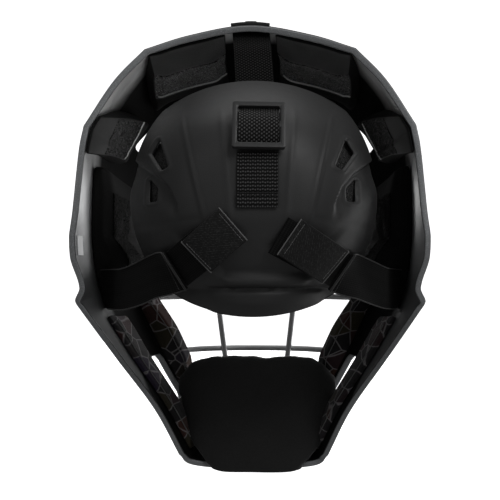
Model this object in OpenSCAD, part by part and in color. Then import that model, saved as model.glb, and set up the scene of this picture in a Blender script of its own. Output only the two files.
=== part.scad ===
// Hockey-style goalie mask: moulded shell, wire cage, foam liner and a hinged back plate.
// Millimetres. Origin at the centre of the wearer's head, midway between the ears;
// +Y is the way the face looks, +X the wearer's right, +Z up.

/* [Shell] */
// Wall of the moulded shell
shell_wall = 4; // [3:0.5:5]
// Height that the ear lobes of the rear rim stand out
ear_relief = 1; // [0:0.1:1.4]
// Diameter of the throat guard lace holes in the chin
lace_hole_d = 6; // [4:0.5:7]
// Distance between the two lace holes
lace_hole_gap = 60; // [40:2:64]

/* [Cage] */
// Diameter of the cage wire
wire_d = 4.6; // [3.6:0.2:5.2]
// How far the cross wires bow out in front of the port
cage_bow = 30; // [20:1:36]

/* [Liner] */
// Foam thickness of the head pads
pad_foam = 14; // [10:1:15]
// Foam thickness of the cheek pads
cheek_foam = 10; // [7:1:11]

/* [Back plate] */
// Half width of the back plate
plate_half_w = 81; // [76:1:82]
// Half height of the back plate
plate_half_h = 77; // [72:1:78]
// Depth of the back plate's dome
plate_depth = 52; // [44:1:54]
// Wall of the back plate
plate_wall = 3; // [2:0.5:3.5]
// How far the plate hangs off centre on its straps
plate_shift = 3; // [0:0.5:4]

/* [Harness] */
// Width of the top strap webbing
webbing_w = 25.4; // [20:0.2:25.6]
// Thickness of the webbing
webbing_t = 1.6; // [1.2:0.1:1.8]
// Width of the side elastics
elastic_w = 28; // [22:1:29]
// Width of the hook and loop straps
loop_w = 25; // [20:1:26]
// Thickness of the side straps
strap_t = 2; // [1.4:0.1:2.2]

/* [Hidden] */

// Colours
dark_shell = [0.27, 0.28, 0.29];
soft_black = [0.05, 0.05, 0.05];
strap_black = [0.09, 0.09, 0.09];
plate_grey = [0.11, 0.11, 0.115];
wire_grey = [0.45, 0.46, 0.47];
screw_grey = [0.6, 0.6, 0.62];
print_grey = [0.12, 0.10, 0.10];
label_grey = [0.6, 0.6, 0.6];

// Stations round the right half of the mask, from the top centre to the bottom centre:
// rear rim point, port edge point, [bulge, rim flare, ear relief, corner of the rim]
half = [
    [[0, -40, 152], [0, 130, 64], [43, 6, 0, 0]],
    [[40.6, -41, 145.2], [24, 129, 64], [42, 6, 0, 0]],
    [[70.8, -45, 135.5], [46, 125, 62], [38, 7, 0, 1]],
    [[91, -50, 113.7], [62, 119, 57], [33, 8, 0, 0]],
    [[110.4, -57, 82.9], [77, 110, 47], [27, 9, 0, 1]],
    [[113.4, -59, 66.1], [84, 104, 36], [23, 9, 0, 0]],
    [[117.5, -60, 26.4], [90, 97, 16], [17, 9, 0, 0]],
    [[118.5, -60, 9.2], [92, 94, 4], [15, 9, 1.4, 1]],
    [[118, -59, -5.9], [92, 92, -8], [14, 9, 1.2, 1]],
    [[116.5, -52, -26], [90, 92, -21], [13, 8, -2.4, 1]],
    [[115.5, -48, -33.5], [87, 93, -31], [12, 8, 2.8, 1]],
    [[113, -44, -41.1], [83, 95, -42], [11, 7, 1.6, 1]],
    [[94.8, -12, -77.3], [68, 105, -80], [9, 5, 0, 0]],
    [[72.1, 22, -117.2], [54, 117, -110], [9, 4, 0, 0]],
    [[56.5, 50, -155.5], [40, 126, -127], [11, 4, 0, 1]],
    [[45.5, 57, -164.5], [28, 130, -133], [14, 3, 0, 0]],
    [[0, 62, -168.1], [0, 134, -136], [18, 2, 0, 0]]
];
last = len(half) - 1;
turn = 2 * last;
rows = [0, 0.02, 0.06, 0.12, 0.2, 0.3, 0.4, 0.5, 0.6, 0.7, 0.8, 0.88, 0.95, 1];
flare_end = 0.2;
bump_power = 0.85;
column_step = 0.5;

// Vents through the right half of the shell: from and to station, from and to row share
vents = [
    [2.5, 3.5, 0.7, 0.8], [5.5, 6, 0.4, 0.6], [6.5, 7, 0.4, 0.6], [7.5, 8, 0.4, 0.6], [12, 13, 0.6, 0.8]
];

function unit(v) = v / norm(v);
function mirror_x(p) = [-p[0], p[1], p[2]];
function smooth(t) = let (c = min(1, max(0, t))) c * c * (3 - 2 * c);

// One station of the whole loop, the left half mirrored
function station(k) =
    let (m = ((k % turn) + turn) % turn, h = half[m <= last ? m : turn - m])
    m <= last ? h : [mirror_x(h[0]), mirror_x(h[1]), h[2]];

// Hermite curve through the stations of loop c, with broken tangents at the rim's corners
function loop_at(c, s) =
    let (
        k = floor(s), t = s - k,
        a = station(k - 1), b = station(k), d = station(k + 1), e = station(k + 2),
        m0 = c == 0 && b[2][3] == 1 ? d[c] - b[c] : (d[c] - a[c]) / 2,
        m1 = c == 0 && d[2][3] == 1 ? d[c] - b[c] : (e[c] - b[c]) / 2,
        t2 = t * t, t3 = t2 * t
    )
    (2 * t3 - 3 * t2 + 1) * b[c] + (t3 - 2 * t2 + t) * m0 + (3 * t2 - 2 * t3) * d[c] + (t3 - t2) * m1;

// Outer surface of the shell at station s and share v from the rear rim to the port edge
function body_at(s, v) =
    let (
        r = loop_at(0, s), p = loop_at(1, s), q = loop_at(2, s),
        along = unit(p - r), mid = (r + p) / 2, out = unit(mid - (mid * along) * along),
        flare = q[1] * (1 - v) * (1 - pow(1 - min(1, v / flare_end), 2)),
        lobe = ear_relief * q[2] * pow(1 - min(1, v / flare_end), 2)
    )
    r + (p - r) * v + out * (q[0] * pow(max(0, 4 * v * (1 - v)), bump_power) - flare + lobe);

// Outward normal of a smoothed patch round the point
function body_normal(s, v) =
    let (lo = max(0, v - 0.04), hi = min(1, v + 0.04))
    unit(cross(body_at(s + 0.5, v) - body_at(s - 0.5, v), body_at(s, hi) - body_at(s, lo)));

// Point at a depth under the outer surface
function under(s, v, depth) = body_at(s, v) - depth * body_normal(s, v);

// Closed solid between two grids of points, with holes where a cell is open
module slab(outer, inner, wrap = false, open = []) {
    n = len(outer);
    m = len(outer[0]);
    cols = wrap ? n : n - 1;
    function hole(i, j) =
        let (c = wrap ? (i + n) % n : i)
        c < 0 || c >= cols || j < 0 || j >= m - 1
        || len([for (o = open) if (o[0] == c && o[1] == j) 1]) > 0;
    function id(i, j, layer = 0) = (i % n) * m + j + layer * n * m;
    faces = [
        for (i = [0:cols - 1], j = [0:m - 2]) if (!hole(i, j))
            let (
                a = id(i, j), b = id(i + 1, j), c = id(i + 1, j + 1), d = id(i, j + 1),
                e = id(i, j, 1), f = id(i + 1, j, 1), g = id(i + 1, j + 1, 1), h = id(i, j + 1, 1)
            )
            each concat(
                [[a, d, c], [a, c, b], [e, f, g], [e, g, h]],
                hole(i, j - 1) ? [[a, b, f], [a, f, e]] : [],
                hole(i, j + 1) ? [[c, d, h], [c, h, g]] : [],
                hole(i - 1, j) ? [[d, a, e], [d, e, h]] : [],
                hole(i + 1, j) ? [[b, c, g], [b, g, f]] : []
            )
    ];
    polyhedron(
        points = concat([for (c = outer) each c], [for (c = inner) each c]), faces = faces, convexity = 10
    );
}

// Solid through a list of rings of points, open or closed on itself
module skin(rings, loop = false) {
    n = len(rings);
    m = len(rings[0]);
    function id(i, k) = (i % n) * m + k % m;
    sides = [
        for (i = [0:(loop ? n - 1 : n - 2)], k = [0:m - 1])
            each [[id(i, k), id(i + 1, k), id(i + 1, k + 1)], [id(i, k), id(i + 1, k + 1), id(i, k + 1)]]
    ];
    first_end = [for (k = [1:m - 2]) [0, k, k + 1]];
    last_end = [for (k = [1:m - 2]) [id(n - 1, 0), id(n - 1, k + 1), id(n - 1, k)]];
    polyhedron(
        points = [for (r = rings) each r],
        faces = loop ? sides : concat(sides, first_end, last_end), convexity = 10
    );
}

function heading(path, i, loop) =
    let (n = len(path), a = loop ? path[(i + n - 1) % n] : path[max(0, i - 1)],
         b = loop ? path[(i + 1) % n] : path[min(n - 1, i + 1)])
    unit(b - a);

// Round tube along a path; ref is never parallel to the path
module tube(path, r, ref, loop = false, sides = 10) {
    skin([
        for (i = [0:len(path) - 1])
            let (t = heading(path, i, loop), u = unit(cross(ref, t)), w = cross(t, u))
            [for (k = [0:sides - 1]) path[i] + r * (cos(360 * k / sides) * u + sin(360 * k / sides) * w)]
    ], loop);
}

// Flat strap along a path of points, each with the way that its face looks
module ribbon(path, faces_to, w, t) {
    skin([
        for (i = [0:len(path) - 1])
            let (
                h = heading(path, i, false),
                n = unit(faces_to[i] - (faces_to[i] * h) * h),
                side = cross(n, h) * w / 2
            )
            [path[i] + side, path[i] + side + n * t, path[i] - side + n * t, path[i] - side]
    ]);
}

// Places children on the shell: x round the mask, y towards the port, z out of the surface
module on_shell(s, v, depth = 0) {
    o = under(s, v, depth);
    n = body_normal(s, v);
    raw = body_at(s, min(1, v + 0.03)) - body_at(s, v - 0.03);
    y = unit(raw - (raw * n) * n);
    x = cross(y, n);
    multmatrix([
        [x[0], y[0], n[0], o[0]], [x[1], y[1], n[1], o[1]], [x[2], y[2], n[2], o[2]], [0, 0, 0, 1]
    ]) children();
}

// ---- Fasteners -------------------------------------------------------------
screw_hole_r = 2.3;
shank_r = 2.1;
head_r = 5;
head_h = 2.4;
cross_w = 1.2;
nut_r = 4;
nut_h = 2.4;
hole_facets = 32;
head_facets = 40;
lace_y = 92;
// Clip places: station, row share; the left side mirrors them
clip_places = [[2.4, 0.87], [7.2, 0.87], [13.5, 0.87]];
clip_size = [20, 17, 6.5];
clip_screw_y = -3.5;
elastic_place = [9.4, 0.44];
retainer_rows = [0.09, 0.19];

module both_sides() {
    children();
    mirror([1, 0, 0]) children();
}

module clip_frames() {
    both_sides() for (c = clip_places) on_shell(c[0], c[1]) children();
}

// Cutter for a screw hole, from z = -reach up
module screw_hole(reach = 10, h = 20) {
    translate([0, 0, -reach]) cylinder(h = h, r = screw_hole_r, $fn = hole_facets);
}

module shell_holes() {
    clip_frames() translate([0, clip_screw_y, 0]) screw_hole();
    both_sides() on_shell(elastic_place[0], elastic_place[1]) screw_hole();
    for (v = retainer_rows) on_shell(0, v) screw_hole();
    for (x = [-1, 1]) translate([x * lace_hole_gap / 2, lace_y, -180])
        cylinder(h = 40, r = lace_hole_d / 2, $fn = 48);
}

// ---- Shell -----------------------------------------------------------------
columns = [for (i = [0:turn / column_step - 1]) i * column_step];
function near(a, b) = abs(a - b) < 1e-6;
function row_index(v) = [for (j = [0:len(rows) - 1]) if (near(rows[j], v)) j][0];
vent_cells = [
    for (w = vents, side = [0, 1])
        let (
            i0 = (side == 0 ? w[0] : turn - w[1]) / column_step,
            i1 = (side == 0 ? w[1] : turn - w[0]) / column_step
        )
        for (i = [i0:i1 - 1], j = [row_index(w[2]):row_index(w[3]) - 1]) [i, j]
];

module shell() {
    color(dark_shell) difference() {
        slab(
            [for (s = columns) [for (v = rows) body_at(s, v)]],
            [for (s = columns) [for (v = rows) under(s, v, shell_wall)]],
            wrap = true, open = vent_cells
        );
        shell_holes();
    }
}

// ---- Liner -----------------------------------------------------------------
pad_gap = 0.5;

// Foam pad on the inside of the shell between two stations: a wedge from the rear rim up to
// row share wedge, or a block where wedge is 0. Its sides lean by so many stations over the rows,
// and swell scales the foam along the stations.
module pad(s0, s1, v_list, foam, wedge = 0, lean = [0, 0], side = 0.75, swell = [[0, 1]]) {
    n = ceil((s1 - s0) / column_step);
    back = shell_wall + pad_gap;
    function s_at(i, v) = s0 + lean[0] * v + (s1 - s0 + (lean[1] - lean[0]) * v) * i / n;
    function share(i, j) =
        let (
            edge = i == 0 || i == n ? side : 1,
            front = j == len(v_list) - 1 ? 0.5 : 1,
            rim = wedge > 0 ? 0.12 + 0.88 * min(1, v_list[j] / wedge) : (j == 0 ? 0.55 : 1)
        )
        min(edge, front) * rim * lookup(s_at(i, v_list[j]), swell);
    slab(
        [for (i = [0:n]) [for (v = v_list) under(s_at(i, v), v, back)]],
        [for (i = [0:n]) [for (j = [0:len(v_list) - 1])
            under(s_at(i, v_list[j]), v_list[j], back + max(1, foam * share(i, j)))]]
    );
}

head_rows = [0.012, 0.04, 0.08, 0.13, 0.2, 0.3, 0.4, 0.5, 0.58];
ear_rows = [0.3, 0.34, 0.4, 0.5, 0.6, 0.66];
brow_rows = [0.62, 0.66, 0.74, 0.82, 0.9, 0.96];
cheek_rows = [0.82, 0.85, 0.9, 0.96, 0.99];
jaw_rows = [0.17, 0.2, 0.28, 0.38, 0.48, 0.53];
cheek_swell = [[9, 0.85], [11, 0.95], [11.6, 1.5], [12.2, 1.5], [12.7, 1]];
// Foam of these pads as a share of pad_foam or cheek_foam
temple_foam = 1.35;
brow_foam = 0.8;
jaw_foam = 0.6;
module crown_pad_right() { color(soft_black) pad(0.42, 1.98, head_rows, pad_foam, 0.16, [0.1, 0.8]); }
module crown_pad_left() { mirror([1, 0, 0]) crown_pad_right(); }
module temple_pad_right() {
    color(soft_black) pad(3.72, 5.05, head_rows, pad_foam * temple_foam, 0.4, [-1.4, -0.8], 0.95);
}
module temple_pad_left() { mirror([1, 0, 0]) temple_pad_right(); }
module ear_pad_right() { color(soft_black) pad(5.1, 8.1, ear_rows, pad_foam); }
module ear_pad_left() { mirror([1, 0, 0]) ear_pad_right(); }
module forehead_pad() { color(soft_black) pad(-1.85, 1.85, brow_rows, pad_foam * brow_foam); }
module cheek_pad_right() { color(print_grey) pad(9, 12.7, cheek_rows, cheek_foam, swell = cheek_swell); }
module cheek_pad_left() { mirror([1, 0, 0]) cheek_pad_right(); }
module jaw_pad_right() { color(print_grey) pad(11.2, 14.1, jaw_rows, cheek_foam * jaw_foam); }
module jaw_pad_left() { mirror([1, 0, 0]) jaw_pad_right(); }

// Chin pad: closed side profile of y, z, half width, skinned across x with crowned ends
chin_profile = [
    [46, -165, 32], [46, -171, 29], [52, -174, 27], [56.5, -160.5, 27], [66, -153, 32],
    [98, -149.5, 34], [108, -138, 36], [108, -116, 42], [104, -98, 48], [97, -88, 54],
    [88, -85, 58], [78, -90, 60], [70, -102, 58], [60, -126, 48], [50, -150, 43]
];
chin_shift = 2;
chin_mid = [80, -128];
module chin_pad() {
    color(soft_black) skin([
        for (i = [-5:5])
            let (u = i / 5, pull = 1 - 0.45 * pow(abs(u), 4), drop = 0.55 * pull + 0.45)
            [for (p = chin_profile)
                [chin_shift + u * p[2], chin_mid[0] + (p[0] - chin_mid[0]) * pull,
                 chin_mid[1] + (p[1] - chin_mid[1]) * drop]]
    ]);
}

// ---- Cage ------------------------------------------------------------------
wire_r = wire_d / 2;
rim_wire_v = 0.965;
function rim_wire_at(s) = under(s, rim_wire_v, -(wire_r + 1.1));

module cage_rim_wire() {
    color(wire_grey) tube([for (i = [0:79]) rim_wire_at(turn * i / 80)], wire_r, [0, 1, 0], loop = true);
}

// Cross wire from station s on the right to the same place on the left, bowed forward
function cross_at(s, bow, u) =
    let (p = rim_wire_at(s), x = p[0] * u, f = 1 - pow(abs(u), 2.6))
    [x, p[1] + wire_d * 0.9 + bow * f, p[2]];
// Stations where the cross wires meet the rim wire, and how much of the full bow each has
cross_wires = [[3.6, 0.75], [8.4, 1.25], [10.7, 1.3], [12.02, 1.3], [12.8, 1], [13.4, 0.66]];
module cage_cross_wires() {
    color(wire_grey) for (c = cross_wires)
        tube([for (i = [-10:10]) cross_at(c[0], cage_bow * c[1], i / 10)], wire_r, [0, 0, 1]);
}

// Front of the cage at height z on the cross wires, for the uprights that lie on their inner side
upright_x = [[64, 42], [42, 38], [0, 34], [-55, 30.5], [-92, 25.5], [-136, 20]];
function lookup_x(z) = lookup(z, [for (p = [5:-1:0]) [upright_x[p][0], upright_x[p][1]]]);
function wire_front(x, c) = let (p = rim_wire_at(c[0])) cross_at(c[0], cage_bow * c[1], abs(x) / p[0]);
function upright_path() =
    let (
        top = rim_wire_at(1.75), bottom = rim_wire_at(15.35),
        mids = [for (c = cross_wires) let (z = rim_wire_at(c[0])[2], x = lookup_x(z))
            wire_front(x, c) - [0, wire_d * 0.94, 0]]
    )
    concat([top + [0, wire_d * 0.9, 0]], mids, [bottom + [0, wire_d * 0.9, 0]]);

// Smooth curve through a list of points
function spline(pts, steps) = [
    for (i = [0:len(pts) - 2], k = [0:steps - 1])
        let (
            a = pts[max(0, i - 1)], b = pts[i], c = pts[i + 1], d = pts[min(len(pts) - 1, i + 2)],
            t = k / steps, m0 = (c - a) / 2, m1 = (d - b) / 2
        )
        (2 * t * t * t - 3 * t * t + 1) * b + (t * t * t - 2 * t * t + t) * m0
        + (3 * t * t - 2 * t * t * t) * c + (t * t * t - t * t) * m1,
    pts[len(pts) - 1]
];

module cage_uprights() {
    color(wire_grey) both_sides() tube(spline(upright_path(), 4), wire_r, [1, 0, 0]);
}

// Moulded clip that holds the rim wire down on the shell
module cage_clips() {
    color(soft_black) both_sides() for (c = clip_places) difference() {
        on_shell(c[0], c[1]) difference() {
            translate([-clip_size[0] / 2, -9, 0.3]) cube(clip_size);
            translate([0, clip_screw_y, 0]) screw_hole(10, 30);
        }
        tube([for (i = [-6:6]) rim_wire_at(c[0] + i * 0.2)], wire_r + 0.25, [0, 1, 0]);
    }
}

// Cross-head screw, its head on z = 0
module screw(length, head = head_h) {
    translate([0, 0, -length]) cylinder(h = length, r = shank_r, $fn = hole_facets);
    difference() {
        cylinder(h = head, r1 = head_r, r2 = head_r * 0.8, $fn = head_facets);
        for (a = [0, 90]) rotate([0, 0, a]) translate([-cross_w / 2, -head_r * 0.6, head * 0.5])
            cube([cross_w, head_r * 1.2, head]);
    }
}

module clip_screws() {
    color(screw_grey) clip_frames() translate([0, clip_screw_y, clip_size[2] + 0.35]) screw(13.5);
}

module nut() {
    difference() {
        cylinder(h = nut_h, r = nut_r, $fn = 6);
        translate([0, 0, -1]) cylinder(h = nut_h + 2, r = shank_r + 0.05, $fn = hole_facets);
    }
}

module clip_nuts() {
    color(screw_grey) clip_frames() translate([0, clip_screw_y, -shell_wall - 3.1]) nut();
}

// ---- Crown retainer --------------------------------------------------------
retainer_stations = [-0.31, -0.15, 0, 0.15, 0.31];
retainer_lengths = [0.02, 0.08, 0.14, 0.2, 0.25];
module top_strap_retainer() {
    color(strap_black) difference() {
        slab(
            [for (s = retainer_stations) [for (v = retainer_lengths) under(s, v, -2.2)]],
            [for (s = retainer_stations) [for (v = retainer_lengths) under(s, v, -0.3)]]
        );
        for (v = retainer_rows) on_shell(0, v) screw_hole();
    }
}
module retainer_screws() { color(screw_grey) for (v = retainer_rows) on_shell(0, v, -2.4) screw(12.4, 1.2); }
module retainer_nuts() { color(screw_grey) for (v = retainer_rows) on_shell(0, v, shell_wall + 5.4) nut(); }

// Blank sticker on the inside of the left wall
label_stations = [24.15, 24.6, 25.05];
label_rows = [0.03, 0.055, 0.08];
module blank_label() {
    color(label_grey) slab(
        [for (s = label_stations) [for (v = label_rows) under(s, v, shell_wall + 0.06)]],
        [for (s = label_stations) [for (v = label_rows) under(s, v, shell_wall + 0.4)]]
    );
}

// ---- Back plate ------------------------------------------------------------
plate_mid_z = 34;
plate_edge_y = -66;
plate_round = 0.42;
plate_power = 1.8;
lip_z = -22;
lip_out = 5;
// Rear surface of the plate over x and z, with the rolled lip along its lower edge
function plate_y(x, z) =
    let (r = pow((x - plate_shift) / plate_half_w, 2) + pow((z - plate_mid_z) / plate_half_h, 2))
    plate_edge_y - plate_depth + plate_depth * pow(r, plate_power) - lip_out * smooth((lip_z - z) / 14);
function plate_normal(x, z) =
    let (h = 1, dx = plate_y(x + h, z) - plate_y(x - h, z), dz = plate_y(x, z + h) - plate_y(x, z - h))
    unit([dx / (2 * h), -1, dz / (2 * h)]);
function plate_at(x, z, lift = 0) = [x, plate_y(x, z), z] + lift * plate_normal(x, z);
// Square grid shares mapped to the plate's rounded outline
function plate_xz(a, b) = [
    plate_shift + plate_half_w * a * sqrt(1 - plate_round * b * b),
    plate_mid_z + plate_half_h * b * sqrt(1 - plate_round * a * a)
];
function plate_grid(a_list, b_list, lift) =
    [for (a = a_list) [for (b = b_list) let (p = plate_xz(a, b)) plate_at(p[0], p[1], lift)]];
function steps(lo, hi, n) = [for (i = [0:n]) lo + (hi - lo) * i / n];
plate_steps = steps(-1, 1, 22);

// Vent outlines in x, z on the right of the plate, mirrored about its middle
vent_outlines = [
    [[60, 71], [65.5, 62], [57, 50], [52.5, 52]],
    [[68.5, 46], [66.5, 30], [61, 30.5], [61.5, 39]]
];
buckle_z = 74;
buckle_x = 7.5;

module back_plate() {
    color(plate_grey) difference() {
        slab(plate_grid(plate_steps, plate_steps, 0), plate_grid(plate_steps, plate_steps, -plate_wall));
        for (side = [-1, 1], o = vent_outlines) translate([plate_shift, -40, 0]) rotate([90, 0, 0])
            linear_extrude(100) polygon([for (p = o) [side * p[0], p[1]]]);
        translate([buckle_x - 15, -140, buckle_z - 3]) cube([30, 70, 14]);
        rivet_frames() rivet_hole();
    }
}

plate_pad_gap = 1.8;
plate_pad_depth = 9;
module back_plate_pad() {
    across = steps(-0.82, 0.82, 12);
    up = steps(-0.78, 0.36, 9);
    color(soft_black) slab(
        plate_grid(across, up, -plate_wall - plate_pad_gap),
        plate_grid(across, up, -plate_wall - plate_pad_depth)
    );
}

// ---- Top strap -------------------------------------------------------------
strap_x = 1;
// Side view of the webbing from the crown to the slot in the plate: y, z
strap_route = [
    [-38, 143], [-43, 136.5], [-49, 127], [-54, 117.5], [-59, 107],
    [-66, 99], [-76, 93], [-89, 87], [-101, 82], [-113.5, 76.5]
];
function side_faces(route) = [
    for (i = [0:len(route) - 1])
        let (h = heading([for (p = route) [0, p[0], p[1]]], i, false)) [0, h[2], -h[1]]
];
function strap_points(route, x0, x1) = [
    for (i = [0:len(route) - 1]) [x0 + (x1 - x0) * i / (len(route) - 1), route[i][0], route[i][1]]
];
anchor_stations = [-0.3, -0.15, 0, 0.15, 0.3];
anchor_rows = [0.015, 0.05, 0.1, 0.15, 0.2, 0.24];
module top_strap_anchor() {
    color(strap_black) difference() {
        slab(
            [for (s = anchor_stations) [for (v = anchor_rows) under(s, v, shell_wall + 0.9)]],
            [for (s = anchor_stations) [for (v = anchor_rows) under(s, v, shell_wall + 0.9 + webbing_t)]]
        );
        for (v = retainer_rows) on_shell(0, v) screw_hole(20, 24);
    }
}
module top_strap() {
    color(strap_black) ribbon(
        strap_points(strap_route, strap_x, buckle_x), side_faces(strap_route), webbing_w, webbing_t
    );
}
module top_strap_tail() {
    zs = [52, 46, 39, 33, 27];
    color(strap_black) ribbon(
        [for (z = zs) plate_at(buckle_x - 0.6, z, 0.8)],
        [for (z = zs) plate_normal(buckle_x, z)], webbing_w, webbing_t
    );
}
// Places children on the plate: z out of it, y along the way that it runs from its point towards
// the point (to_x, to_z)
module on_plate(x, z, lift = 0, to_x = undef, to_z = undef) {
    n = plate_normal(x, z);
    o = plate_at(x, z, lift);
    raw = plate_at(is_undef(to_x) ? x : to_x, is_undef(to_z) ? z + 1 : to_z) - plate_at(x, z);
    v = unit(raw - (raw * n) * n);
    u = cross(v, n);
    multmatrix([
        [u[0], v[0], n[0], o[0]], [u[1], v[1], n[1], o[1]], [u[2], v[2], n[2], o[2]], [0, 0, 0, 1]
    ]) children();
}
glide_w = 32.4;
glide_h = 32;
glide_bar = 3.2;
glide_t = 3.4;
glide_lift = 3.4;
module tri_glide() {
    color(strap_black) on_plate(buckle_x, buckle_z, glide_lift) difference() {
        translate([-glide_w / 2, -glide_h / 2, 0]) cube([glide_w, glide_h, glide_t]);
        for (y = [glide_bar - glide_h / 2, 1.5]) translate([glide_bar - glide_w / 2, y, -1])
            cube([glide_w - 2 * glide_bar, glide_h / 2 - glide_bar - 1.5, glide_t + 2]);
    }
}
// Webbing through the frame: under its upper bar, over its middle bar, under its lower bar
loop_route = [[15, -2.2], [11, -1.4], [6, 2.2], [2, 3.8], [-2, 3.8], [-6, 2.2], [-11, -1.4], [-15, -2.2]];
module top_strap_loop() {
    color(strap_black) on_plate(buckle_x, buckle_z, glide_lift) ribbon(
        [for (p = loop_route) [0, p[0], p[1]]], [for (p = loop_route) [0, 0, 1]], webbing_w, webbing_t
    );
}

// ---- Side straps -----------------------------------------------------------
// Elastic from the shell wall to the seam, for the right side: points and the way that its face looks
elastic_depth = shell_wall + 1.6;
function on_wall(v) = [under(elastic_place[0], v, elastic_depth), -body_normal(elastic_place[0], v)];
right_seam = [58.3, -11.8];
left_seam = [-44.3, -10.9];
seam_lift = 6.8;
function on_seam(x, z) = [plate_at(x, z, seam_lift), -plate_normal(x, z)];
elastic_right_path = [
    on_wall(0.56), on_wall(0.5), on_wall(0.44), on_wall(0.38), on_wall(0.32),
    [[98, -18, -27], [-1, 0.5, 0]], [[91, -38, -25.5], [-1, 0.6, 0]], [[82, -57, -22], [-1, 0.8, 0]],
    [[71, -74, -17.5], [-0.8, 1, 0]], on_seam(right_seam[0], right_seam[1])
];
elastic_left_path = [
    on_wall(0.56), on_wall(0.5), on_wall(0.44), on_wall(0.38), on_wall(0.32),
    [[97, -20, -27.5], [-1, 0.5, 0]], [[86, -45, -26.5], [-1, 0.6, 0]], [[73, -67, -22.5], [-0.9, 1, 0]],
    [[59, -86, -16.5], [-0.7, 1, 0]],
    [for (p = on_seam(left_seam[0], left_seam[1])) mirror_x(p)]
];
module elastic(path) {
    color(strap_black) difference() {
        ribbon([for (p = path) p[0]], [for (p = path) p[1]], elastic_w, strap_t);
        on_shell(elastic_place[0], elastic_place[1]) screw_hole(12, 24);
    }
}
module elastic_right() { elastic(elastic_right_path); }
module elastic_left() { mirror([1, 0, 0]) elastic(elastic_left_path); }
module elastic_screws() {
    color(screw_grey) both_sides() on_shell(elastic_place[0], elastic_place[1], -0.4) screw(13);
}
module elastic_washers() {
    color(screw_grey) both_sides() on_shell(elastic_place[0], elastic_place[1], shell_wall + 5.3)
        difference() {
            cylinder(h = 1.2, r = 6.5, $fn = head_facets);
            translate([0, 0, -1]) cylinder(h = 4, r = shank_r + 0.05, $fn = hole_facets);
        }
}
module elastic_nuts() {
    color(screw_grey) both_sides() on_shell(elastic_place[0], elastic_place[1], shell_wall + 7.9) nut();
}

// Straps on the plate: the loop strap from under the elastic to its tip, riveted to the plate,
// and the hook tab folded back on top of it. A point on the plate is x, z.
right_tip = [19.4, 12];
right_tab = [[24.6, 8.8], [52, -7.8]];
left_tip = [-7.6, 15.8];
left_tab = [[-8.2, 15.4], [-31, -1.6]];
base_lift = 0.5;
tab_lift = 3.5;
seam_lap = 1;
rivet_r = 1.5;
rivet_gap = 11;
rivet_inset = 14;
rivet_head_r = 3.4;
// Height of the inner rivet head under the plate
rivet_drop = 0.8;

module plate_strap(from, to, lift, w, t, n = 5) {
    line = [for (i = [0:n]) from + (to - from) * i / n];
    ribbon([for (p = line) plate_at(p[0], p[1], lift)], [for (p = line) plate_normal(p[0], p[1])], w, t);
}

// Frames of the two rivets of a strap, near its tip
module rivet_pair(tip, seam) {
    at = tip + (seam - tip) * rivet_inset / norm(seam - tip);
    on_plate(at[0], at[1], 0, tip[0], tip[1]) for (x = [-1, 1])
        translate([x * rivet_gap / 2, 0, 0]) children();
}

module rivet_hole() {
    translate([0, 0, -10]) cylinder(h = 20, r = rivet_r + 0.2, $fn = hole_facets);
}

module rivet_frames() {
    rivet_pair(right_tip, right_seam) children();
    rivet_pair(left_tip, left_seam) children();
}

module loop_strap(tip, seam) {
    lap = (seam - tip) * seam_lap / norm(seam - tip);
    color(strap_black) difference() {
        plate_strap(seam + lap, tip, base_lift, loop_w, strap_t);
        rivet_pair(tip, seam) rivet_hole();
    }
}
module loop_strap_right() { loop_strap(right_tip, right_seam); }
module loop_strap_left() { loop_strap(left_tip, left_seam); }

module strap_rivets() {
    color(screw_grey) rivet_frames() {
        translate([0, 0, -plate_wall - rivet_drop - 0.4])
            cylinder(h = plate_wall + rivet_drop + 3.1, r = rivet_r, $fn = hole_facets);
        translate([0, 0, -plate_wall - rivet_drop - 0.7])
            cylinder(h = 0.7, r = rivet_head_r, $fn = hole_facets);
        translate([0, 0, 2.6]) cylinder(h = 0.4, r = rivet_head_r, $fn = hole_facets);
    }
}

module strap_tab(tab) {
    color(strap_black) plate_strap(tab[1], tab[0], tab_lift, loop_w + 1, strap_t);
}
module strap_tab_right() { strap_tab(right_tab); }
module strap_tab_left() { strap_tab(left_tab); }

shell();
chin_pad();
forehead_pad();
crown_pad_right();
crown_pad_left();
temple_pad_right();
temple_pad_left();
ear_pad_right();
ear_pad_left();
cheek_pad_right();
cheek_pad_left();
jaw_pad_right();
jaw_pad_left();
cage_rim_wire();
cage_cross_wires();
cage_uprights();
cage_clips();
clip_screws();
clip_nuts();
top_strap_retainer();
retainer_screws();
retainer_nuts();
blank_label();
elastic_right();
elastic_left();
elastic_screws();
elastic_washers();
elastic_nuts();
back_plate();
back_plate_pad();
top_strap_anchor();
top_strap();
top_strap_tail();
top_strap_loop();
tri_glide();
loop_strap_right();
loop_strap_left();
strap_rivets();
strap_tab_right();
strap_tab_left();
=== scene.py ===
"""Looks of the goalie mask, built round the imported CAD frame. Shapes are in millimetres in the row frame
until make_mesh() or MM turns them into metres."""

import math

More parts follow.
